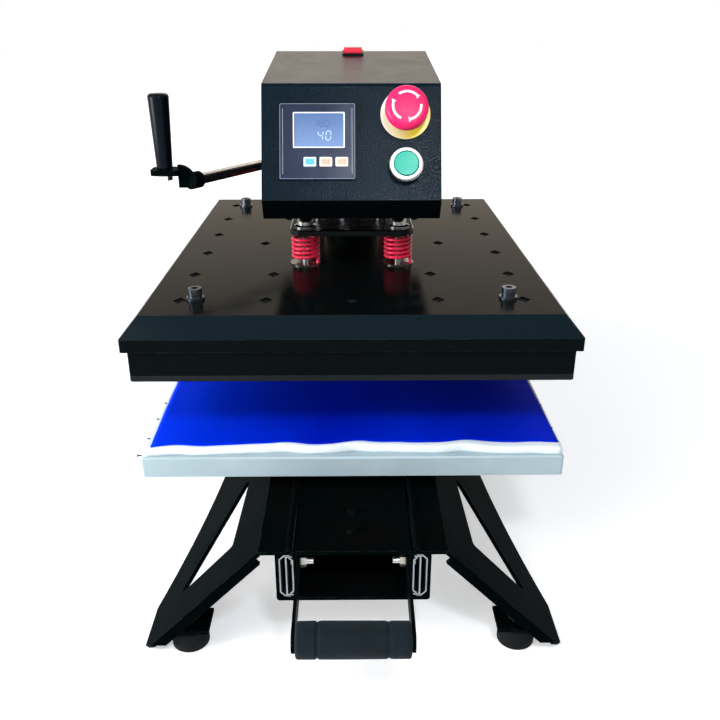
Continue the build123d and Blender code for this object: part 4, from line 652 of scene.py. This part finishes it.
def front_setback(x):
    """How far the pad's front edge lies behind its box, in metres: it is cut by hand."""
    s = x / PAD_HIGH.x
    bow = 6.5 * (1 - s * s) ** 0.8 if abs(s) < 1 else 0.0
    wave = (
        1.7 * math.sin(s * 13.5 + 0.7)
        + 0.9 * math.sin(s * 22.0 + 2.0)
        + 0.5 * math.sin(s * 37 + 1.0)
    )
    return max(0.0, bow + wave * (0.35 + 0.65 * (1 - abs(s)))) * MM


def swell(x, y):
    """How far the pad's top stands over its flat height, in metres: wavy near the front."""
    s = x / PAD_HIGH.x
    from_front = y - PAD_LOW.y
    ripple = 0.9 * math.sin(s * 13.5 + 0.7) + 0.5 * math.sin(s * 22 + 2.0)
    edge = math.exp(-from_front / 0.016)
    slow = 0.12 * math.sin(s * 5 + 1) * math.sin(y * 17) - 0.15
    return (ripple * edge * 0.9 + slow) * MM


def soft_grid(columns, rows, corner):
    """A grid of points and faces. corner turns two shares, from 0 to 1, into a point."""
    points = [corner(i / columns, j / rows) for j in range(rows + 1) for i in range(columns + 1)]
    faces = [
        (a, a + 1, a + columns + 2, a + columns + 1)
        for j in range(rows)
        for a in range(j * (columns + 1), j * (columns + 1) + columns)
    ]
    return points, faces


def rim_of(columns, rows):
    """Indices round a grid's edge, anticlockwise seen from above."""
    wide = columns + 1
    bottom = list(range(columns))
    right = [j * wide + columns for j in range(rows)]
    top = [rows * wide + i for i in range(columns, 0, -1)]
    left = [j * wide for j in range(rows, 0, -1)]
    return bottom + right + top + left


def pad_corner(s, t):
    """X and Y of a point of the pad, from its shares across and back."""
    x = PAD_LOW.x + s * (PAD_HIGH.x - PAD_LOW.x)
    front = PAD_LOW.y + front_setback(x)
    y = front + t * (PAD_HIGH.y - front)
    return x, y


def build_pad():
    """The white pad, with a rounded upper edge and slightly hollow, uneven sides."""
    columns, rows = 90, 100
    round_off, sunk = 1.1 * MM, 0.15 * MM
    side_levels = [(0.86, 0.25), (0.6, 0.0), (0.3, 0.1), (0.0, 0.5)]
    middle = Vector(((PAD_LOW.x + PAD_HIGH.x) / 2, (PAD_LOW.y + PAD_HIGH.y) / 2, 0))

    def corner(s, t):
        x, y = pad_corner(s, t)
        return x, y, PAD_HIGH.z + swell(x, y) - sunk

    def inward(p):
        return Vector((middle.x - p.x, middle.y - p.y, 0)).normalized()

    top, faces = soft_grid(columns, rows, corner)
    rim = rim_of(columns, rows)
    count = len(rim)
    points = [Vector(p) for p in top]
    outer = [points[i].copy() for i in rim]
    for i in rim:
        points[i] += inward(points[i]) * round_off
    previous = rim
    for height, pull in side_levels:
        start = len(points)
        for k, p in enumerate(outer):
            wobble = 0.15 * math.sin(k * 0.37) + 0.15
            q = p + inward(p) * (pull + wobble) * MM
            q.z = PAD_LOW.z + (p.z - PAD_LOW.z) * height
            points.append(q)
        faces += [
            (previous[i], start + i, start + (i + 1) % count, previous[(i + 1) % count])
            for i in range(count)
        ]
        previous = list(range(start, start + count))
    faces.append(tuple(reversed(previous)))
    made = piece("sponge_pad", points, faces, sponge_white, "drawer", "white_sponge")
    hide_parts("foam_pad")


def build_sheet():
    """The blue sheet, laid a little askew on the pad, with curling edges."""
    columns, rows = 96, 110
    width = SHEET_HIGH.x - SHEET_LOW.x
    thick = 0.35 * MM
    skew = math.radians(0.9)

    def corner(s, t, lift):
        x = SHEET_LOW.x + s * width
        front = PAD_LOW.y + front_setback(x) + 6.5 * MM + 0.6 * MM * math.sin(s * 9)
        back = SHEET_HIGH.y - 1.0 * MM * math.sin(s * 7 + 1)
        y = front + t * (back - front)
        bow = 1.2 * MM * math.sin(t * 6 + 0.5) * (2 * s - 1)
        x, y = x + bow - skew * y - 1.0 * MM, y + skew * x
        edge = min(s, 1 - s, t, 1 - t)
        curl = 0.5 * MM * math.exp(-edge * 45) * (1 + math.sin(s * 17 + t * 11)) / 2
        return Vector((x, y, PAD_HIGH.z + swell(x, y) + 0.1 * MM + curl + lift))

    top, faces = soft_grid(columns, rows, lambda s, t: corner(s, t, thick))
    foot, under = soft_grid(columns, rows, lambda s, t: corner(s, t, 0))
    shift = len(top)
    rim = rim_of(columns, rows)
    faces += [tuple(shift + i for i in reversed(f)) for f in under]
    count = len(rim)
    for i in range(count):
        a, b = rim[i], rim[(i + 1) % count]
        faces.append((a, shift + a, shift + b, b))
    made = piece("release_sheet", top + foot, faces, film_blue, "drawer", "blue_film")
    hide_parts("blue_sheet")


def build_roller():
    """The pull handle's foam roller: three lengths of foam tube, pushed together on the rod."""
    low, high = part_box("handle_grip")
    y, z = (low.y + high.y) / 2, (low.z + high.z) / 2
    outer = (high.z - low.z) / 2 - 0.25 * MM
    bore = 6.03 * MM
    half = (high.x - low.x) / 2
    seams = (-0.62 * half, 0.61 * half)
    end = 2.6 * MM
    stations, around = 60, 56
    profile = [(-half, bore), (-half, outer - end), (-half + 0.9 * MM, outer - 0.7 * MM)]
    for i in range(stations + 1):
        x = -half + end + (2 * half - 2 * end) * i / stations
        cut = sum(math.exp(-((x - s) / (0.8 * MM)) ** 2) for s in seams)
        bulge = 0.35 * math.sin((x + half) * 52)
        profile.append((x, outer - 0.3 * MM - cut * 1.5 * MM + bulge * 0.3 * MM))
    profile += [(half - 0.9 * MM, outer - 0.7 * MM), (half, outer - end), (half, bore)]
    points, faces = [], []
    for x, radius in profile:
        for i in range(around):
            a = 2 * math.pi * i / around
            uneven = 0.010 * math.sin(3 * a + x * 60) + 0.006 * math.sin(5 * a - x * 90)
            r = min(radius * (1 + uneven * (radius > bore)), outer + 0.25 * MM)
            points.append((x, y + r * math.cos(a), z + r * math.sin(a)))
    last = (len(profile) - 1) * around
    for start in range(0, last, around):
        faces += flipped(strip(start, start + around, around))
    faces += flipped(strip(last, 0, around))
    made = piece("foam_roller", points, faces, foam, "drawer", "foam_grip")
    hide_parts("handle_grip")


# The tacks and the pin, as radius and height or length in millimetres
TACK = ((1.5, 0.0), (1.45, 0.35), (1.0, 0.65), (0.35, 0.78))
TACK_PLACES = [(-196.6, y) for y in (-226, -186, -150, -60, 40, 150)]
TACK_PLACES += [(196.4, y) for y in (-208, -158, -70, 30, 140)]
PIN = ((0.7, -0.8), (0.7, 4.2), (1.6, 4.2), (1.5, 4.9), (0.9, 5.1))
TACK_STEPS = 14


def build_tacks():
    """Small dark tacks that hold the pad down along its two sides."""
    points, faces = [], []
    for x, y in TACK_PLACES:
        foot = PAD_HIGH.z + swell(x * MM, y * MM) - 0.35 * MM

        def place(radius, height, c, s):
            return (x + radius * c) * MM, (y + radius * s) * MM, foot + height * MM

        add_turned(points, faces, TACK, TACK_STEPS, place)
    piece("pad_tacks", points, faces, dark_oxide, "drawer", "zinc_steel")


def build_pin():
    """A pin in the platen's left side, near its front corner."""
    low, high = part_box("lower_platen")
    y, z = low.y + 9 * MM, high.z - 2.2 * MM
    points, faces = [], []

    def place(radius, out, c, s):
        return low.x - out * MM, y + radius * MM * c, z - radius * MM * s

    add_turned(points, faces, PIN, TACK_STEPS, place, flip=True)
    piece("corner_pin", points, faces, dark_oxide, "drawer", "zinc_steel")


build_pad()
build_sheet()
build_roller()
build_tacks()
build_pin()


# Small marks and faces on the panel

DOME_TOP = 28
DOME_RADIUS = 113.0


def estop_dome(radius):
    """How many millimetres out of the panel the mushroom's top lies, this far from its middle."""
    return DOME_TOP - DOME_RADIUS + math.sqrt(DOME_RADIUS * DOME_RADIUS - radius * radius)


def curved_arrow(name, start):
    """An arc with a pointed head that lies on the mushroom's dome, from an angle in degrees."""
    radius, width, sweep = 12.9, 2.3, -72
    head, head_angle = 4.6, 17
    steps = 14
    rows = []
    for i in range(steps + 1):
        a = math.radians(start + (sweep - head_angle) * i / steps)
        rows.append((a, radius - width / 2, radius + width / 2))
    a = math.radians(start + sweep - head_angle)
    rows.append((a, radius - head / 2, radius + head / 2))
    for i in (0.35, 0.7, 0.97):
        b = math.radians(start + sweep - head_angle + head_angle * i)
        rows.append((b, radius - head / 2 * (1 - i), radius + head / 2 * (1 - i)))
    points = []
    for lift in (0.14, -0.25):
        for a, inner, outer in rows:
            for r in (inner, outer):
                up = ESTOP[1] + r * math.sin(a)
                points.append(on_panel(ESTOP[0] + r * math.cos(a), up, estop_dome(r) + lift))
    count = len(rows)
    under = 2 * count
    faces = []
    for i in range(count - 1):
        j = 2 * i
        faces.append((j, j + 1, j + 3, j + 2))
        faces.append((under + j + 2, under + j + 3, under + j + 1, under + j))
        faces.append((j, j + 2, under + j + 2, under + j))
        faces.append((j + 3, j + 1, under + j + 1, under + j + 3))
    faces.append((1, 0, under, under + 1))
    end = 2 * (count - 1)
    faces.append((end, end + 1, under + end + 1, under + end))
    piece(name, points, faces, white_print, "estop_head", "cream_plastic")


for i, start in enumerate((125, 245, 5)):
    curved_arrow(f"turn_arrow_{i + 1}", start)


def about(x, up):
    """Turns millimetres about a place on the panel, and a height, into a point."""
    return lambda dx, dy, h: on_panel(x + dx, up + dy, h)


ring_plate(
    "display_border",
    rounded_outline(48.6, 33.6, 1.0),
    rounded_outline(46.6, 31.6, 0.6),
    about(*DISPLAY),
    CONTROLLER_FACE - 0.6,
    CONTROLLER_FACE + 0.18,
    white_print,
    "head",
    "cream_plastic",
)
ring_plate(
    "controller_frame_line",
    rounded_outline(70.6, 70.6, 1.4),
    rounded_outline(69.9, 69.9, 1.2),
    about(*CONTROLLER),
    CONTROLLER_FACE - 0.05,
    CONTROLLER_FACE + 0.06,
    frame_line,
    "head",
    "controller_plastic",
)
for side, across in (("left", -32.6), ("right", 32.6)):
    plate(
        f"controller_side_line_{side}",
        rounded_outline(0.5, 62.0, 0.2, 2),
        about(CONTROLLER[0] + across, CONTROLLER[1]),
        CONTROLLER_FACE - 0.05,
        CONTROLLER_FACE + 0.08,
        frame_line,
        "head",
        "controller_plastic",
        0.02,
    )

SEGMENTS = {"0": "abcdef", "1": "bc", "4": "fgbc", "8": "abcdefg"}


def digits(name, text, x, up, height, material):
    """Seven-segment digits on the display, as one piece of small bars."""
    width, bar, slant = height * 0.52, height * 0.12, 0.08
    places = {
        "a": (0, height / 2, True),
        "b": (width / 2, height / 4, False),
        "c": (width / 2, -height / 4, False),
        "d": (0, -height / 2, True),
        "e": (-width / 2, -height / 4, False),
        "f": (-width / 2, height / 4, False),
        "g": (0, 0, True),
    }
    points, faces = [], []
    low, high = CONTROLLER_FACE - 0.42, CONTROLLER_FACE - 0.22
    for n, letter in enumerate(text):
        for segment in SEGMENTS[letter]:
            cx, cy, flat = places[segment]
            long = (width if flat else height / 2) / 2 - bar * 0.35
            half = bar / 2
            left = [(-long + half, half), (-long, 0), (-long + half, -half)]
            shape = left + [(-a, -b) for a, b in left]
            if not flat:
                shape = [(-b, a) for a, b in shape]
            base = len(points)
            for h in (low, high):
                for a, b in shape:
                    px = x + n * width * 1.7 + cx + a + (cy + b) * slant
                    points.append(on_panel(px, up + cy + b, h))
            faces += strip(base, base + 6, 6)
            faces.append(tuple(range(base + 6, base + 12)))
            faces.append(tuple(reversed(range(base, base + 6))))
    piece(name, points, faces, material, "head", "display_window", smooth=False)


digits("set_value_digits", "180", DISPLAY[0] - 3.0, DISPLAY[1] + 6.4, 6.2, digit_dark)
digits("time_digits", "40", DISPLAY[0] + 1.5, DISPLAY[1] - 5.2, 8.4, digit_pale)

# Each key's place across, body, colour, colour of its line, and slot
KEYS = {
    "key_left": (-39.0, "left_key", key_cyan, key_line_blue, "cyan_key"),
    "key_middle": (-24.0, "middle_key", key_orange, key_line, "orange_key"),
    "key_right": (-9.0, "right_key", key_orange, key_line, "orange_key"),
}
for name, (key_x, body, color, line, slot) in KEYS.items():
    plate(
        name + "_face",
        rounded_outline(8.6, 5.6, 0.5),
        about(key_x, KEY_UP),
        KEY_TOP - 0.3,
        KEY_TOP + 0.12,
        color,
        body,
        slot,
        0.06,
    )
    ring_plate(
        name + "_line",
        rounded_outline(5.4, 3.0, 0.4, 3),
        rounded_outline(4.7, 2.3, 0.2, 3),
        about(key_x, KEY_UP),
        KEY_TOP + 0.02,
        KEY_TOP + 0.16,
        line,
        body,
        slot,
    )


# The pressure gauge's dial, its marks, needle and glass

gauge_low, gauge_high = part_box("pressure_gauge")
GAUGE = Vector(((gauge_low.x + gauge_high.x) / 2, gauge_high.y, (gauge_low.z + gauge_high.z) / 2))


def on_gauge(x, y, h):
    """A point on the dial, seen from behind the press, in millimetres. h is over the rim."""
    return GAUGE + Vector((-x, h, y)) * MM


def disc(radius, steps=48):
    return [(radius * c, radius * s) for c, s in circle(steps)]


def gauge_part(name, outline, low, high, material, slot, bevel, angle=0.0):
    """A flat part of the gauge, turned about the dial's middle."""
    a = math.radians(angle)
    c, s = math.cos(a), math.sin(a)
    turned = [(x * c - y * s, x * s + y * c) for x, y in outline]
    plate(name, turned, on_gauge, low, high, material, "head", slot, bevel)


gauge_part("gauge_dial", disc(16.3), -1.48, -1.25, white_print, "cream_plastic", 0.05)
gauge_part("gauge_glass", disc(16.4), -0.65, -0.35, glass, "zinc_steel", 0.15)
MARK_END = 15.0
MARK_HALF_WIDTH = 0.22
for i in range(11):
    start = MARK_END - (3.0 if i % 5 == 0 else 1.9)
    mark = [
        (MARK_END, -MARK_HALF_WIDTH),
        (MARK_END, MARK_HALF_WIDTH),
        (start, MARK_HALF_WIDTH),
        (start, -MARK_HALF_WIDTH),
    ]
    angle = 225 - 27 * i
    gauge_part(f"gauge_mark_{i}", mark, -1.3, -1.18, grey_print, "black_plastic", 0.02, angle)
needle = [(-3.5, -0.5), (12.0, -0.15), (12.0, 0.15), (-3.5, 0.5)]
gauge_part("gauge_needle", needle, -1.08, -0.95, rocker_red, "red_plastic", 0.03, 120)
gauge_part("gauge_hub", disc(1.6, 20), -1.3, -0.85, grey_print, "black_plastic", 0.1)


# Floor. The camera sees it paler the further away it is, so that it meets the white background.

FLOOR_REACH = 12.0
PALE_FROM, PALE_TO = 0.7, 2.2

floor_mesh = bpy.data.meshes.new("floor")
corners = [(x * FLOOR_REACH, y * FLOOR_REACH, 0) for x, y in ((-1, -1), (1, -1), (1, 1), (-1, 1))]
floor_mesh.from_pydata(corners, [], [(0, 1, 2, 3)])
floor = bpy.data.objects.new("floor", floor_mesh)
bpy.context.scene.collection.objects.link(floor)
r = Recipe("pale_floor")
r.set(Base_Color=r.mix(r.noise(2, 2), (0.86, 0.86, 0.87), (0.88, 0.88, 0.885)), Roughness=0.9)
path = r.node("ShaderNodeLightPath").outputs
seen = r.math("MAXIMUM", path["Is Camera Ray"], path["Is Glossy Ray"])
seen = r.math("MAXIMUM", seen, path["Is Transmission Ray"])
away = r.node("ShaderNodeVectorMath", {0: r.place}, operation="LENGTH").outputs["Value"]
paleness = r.span(away, PALE_FROM, PALE_TO, 0.46, 1.0)
glow = r.node("ShaderNodeEmission", {"Color": (1, 1, 1, 1), "Strength": paleness})
none = r.node("ShaderNodeEmission", {"Color": (0, 0, 0, 1), "Strength": 0.0})
added = r.choose(seen, none.outputs[0], glow.outputs[0])
both = r.node("ShaderNodeAddShader", {0: r.shader.outputs[0], 1: added})
r.put(r.tree.nodes["Material Output"].inputs[0], both.outputs[0])
floor_mesh.materials.append(r.material)


# World. The camera sees it white. It lights the object more from the left than from the right, and
# glossy paint mirrors a warm band low over the horizon.

world = bpy.data.worlds.new("studio")
bpy.context.scene.world = world
world.use_nodes = True
sky = Nodes(world.node_tree)
direction = sky.node("ShaderNodeTexCoord").outputs["Generated"]
height = sky.part(direction, "Z")
light_color = sky.ramp(
    height,
    (0.0, (0.80, 0.80, 0.80)),
    (1.0, (0.30, 0.32, 0.34)),
    [(0.30, (0.66, 0.58, 0.53)), (0.55, (0.42, 0.46, 0.50))],
)
mirrored_color = sky.ramp(
    height,
    (0.0, (1.0, 1.0, 1.0)),
    (1.0, (0.50, 0.52, 0.55)),
    [(0.14, (1.0, 0.86, 0.70)), (0.45, (0.92, 0.80, 0.68))],
)
light = sky.tree.nodes["Background"]
sky.put(light.inputs["Color"], light_color)
sky.put(light.inputs["Strength"], sky.span(sky.part(direction, "X"), -1.0, 1.0, 0.92, 0.40))
white = sky.node("ShaderNodeBackground", {"Color": (1, 1, 1, 1), "Strength": 1.0})
mirrored = sky.node("ShaderNodeBackground", {"Color": mirrored_color})
path = sky.node("ShaderNodeLightPath").outputs
seen = sky.math("MAXIMUM", path["Is Camera Ray"], path["Is Transmission Ray"])
plain = sky.choose(seen, light.outputs[0], white.outputs[0])
surroundings = sky.choose(path["Is Glossy Ray"], plain, mirrored.outputs[0])
sky.put(sky.tree.nodes["World Output"].inputs[0], surroundings)


# Lamps and camera


def lamp(name, place, target, width, height, power, color):
    """A soft rectangular lamp at a place, turned to a target."""
    data = bpy.data.lights.new(name, "AREA")
    data.shape = "RECTANGLE"
    data.size, data.size_y = width, height
    data.energy = power
    data.color = color
    made = bpy.data.objects.new(name, data)
    bpy.context.scene.collection.objects.link(made)
    made.location = place
    made.rotation_mode = "QUATERNION"
    made.rotation_quaternion = (Vector(target) - Vector(place)).to_track_quat("-Z", "Y")


# The panel's lower right part mirrors the small lamp into the camera, where its dents then sparkle
GLINT_DISTANCE = 1.1
glint_spot = on_panel(70, 18, 0)
to_camera = (Vector(CAMERA_PLACE) - glint_spot).normalized()
to_lamp = OUT * (2 * OUT.dot(to_camera)) - to_camera
glint_place = glint_spot + to_lamp * GLINT_DISTANCE

lamp("key", (-1.5, -1.5, 2.0), (0, 0, 0.2), 1.3, 1.3, 24, (1.0, 0.99, 0.97))
lamp("left_low", (-1.4, -0.60, 0.42), (-0.05, -0.03, 0.16), 0.7, 0.5, 26, (0.97, 0.99, 1.0))
lamp("fill", (1.9, -1.2, 1.2), (0, 0, 0.25), 1.4, 1.4, 2, (0.93, 0.96, 1.0))
lamp("panel_glint", glint_place, glint_spot, 0.16, 0.16, 6, (0.84, 0.89, 1.0))
lamp("back", (0.4, 1.9, 1.9), (0, 0, 0.3), 1.8, 1.0, 14, (1.0, 0.98, 0.96))

camera_data = bpy.data.cameras.new("camera")
camera = bpy.data.objects.new("camera", camera_data)
bpy.context.scene.collection.objects.link(camera)
camera_data.sensor_width = SENSOR_WIDTH
camera_data.lens = SENSOR_WIDTH * FOCAL_PIXELS / IMAGE_PIXELS
camera_data.clip_start = 0.01
camera.location = CAMERA_PLACE
camera.rotation_euler = (math.radians(90 - CAMERA_PITCH), 0, math.radians(CAMERA_HEADING))
bpy.context.scene.camera = camera
bpy.context.scene.view_settings.view_transform = "Standard"
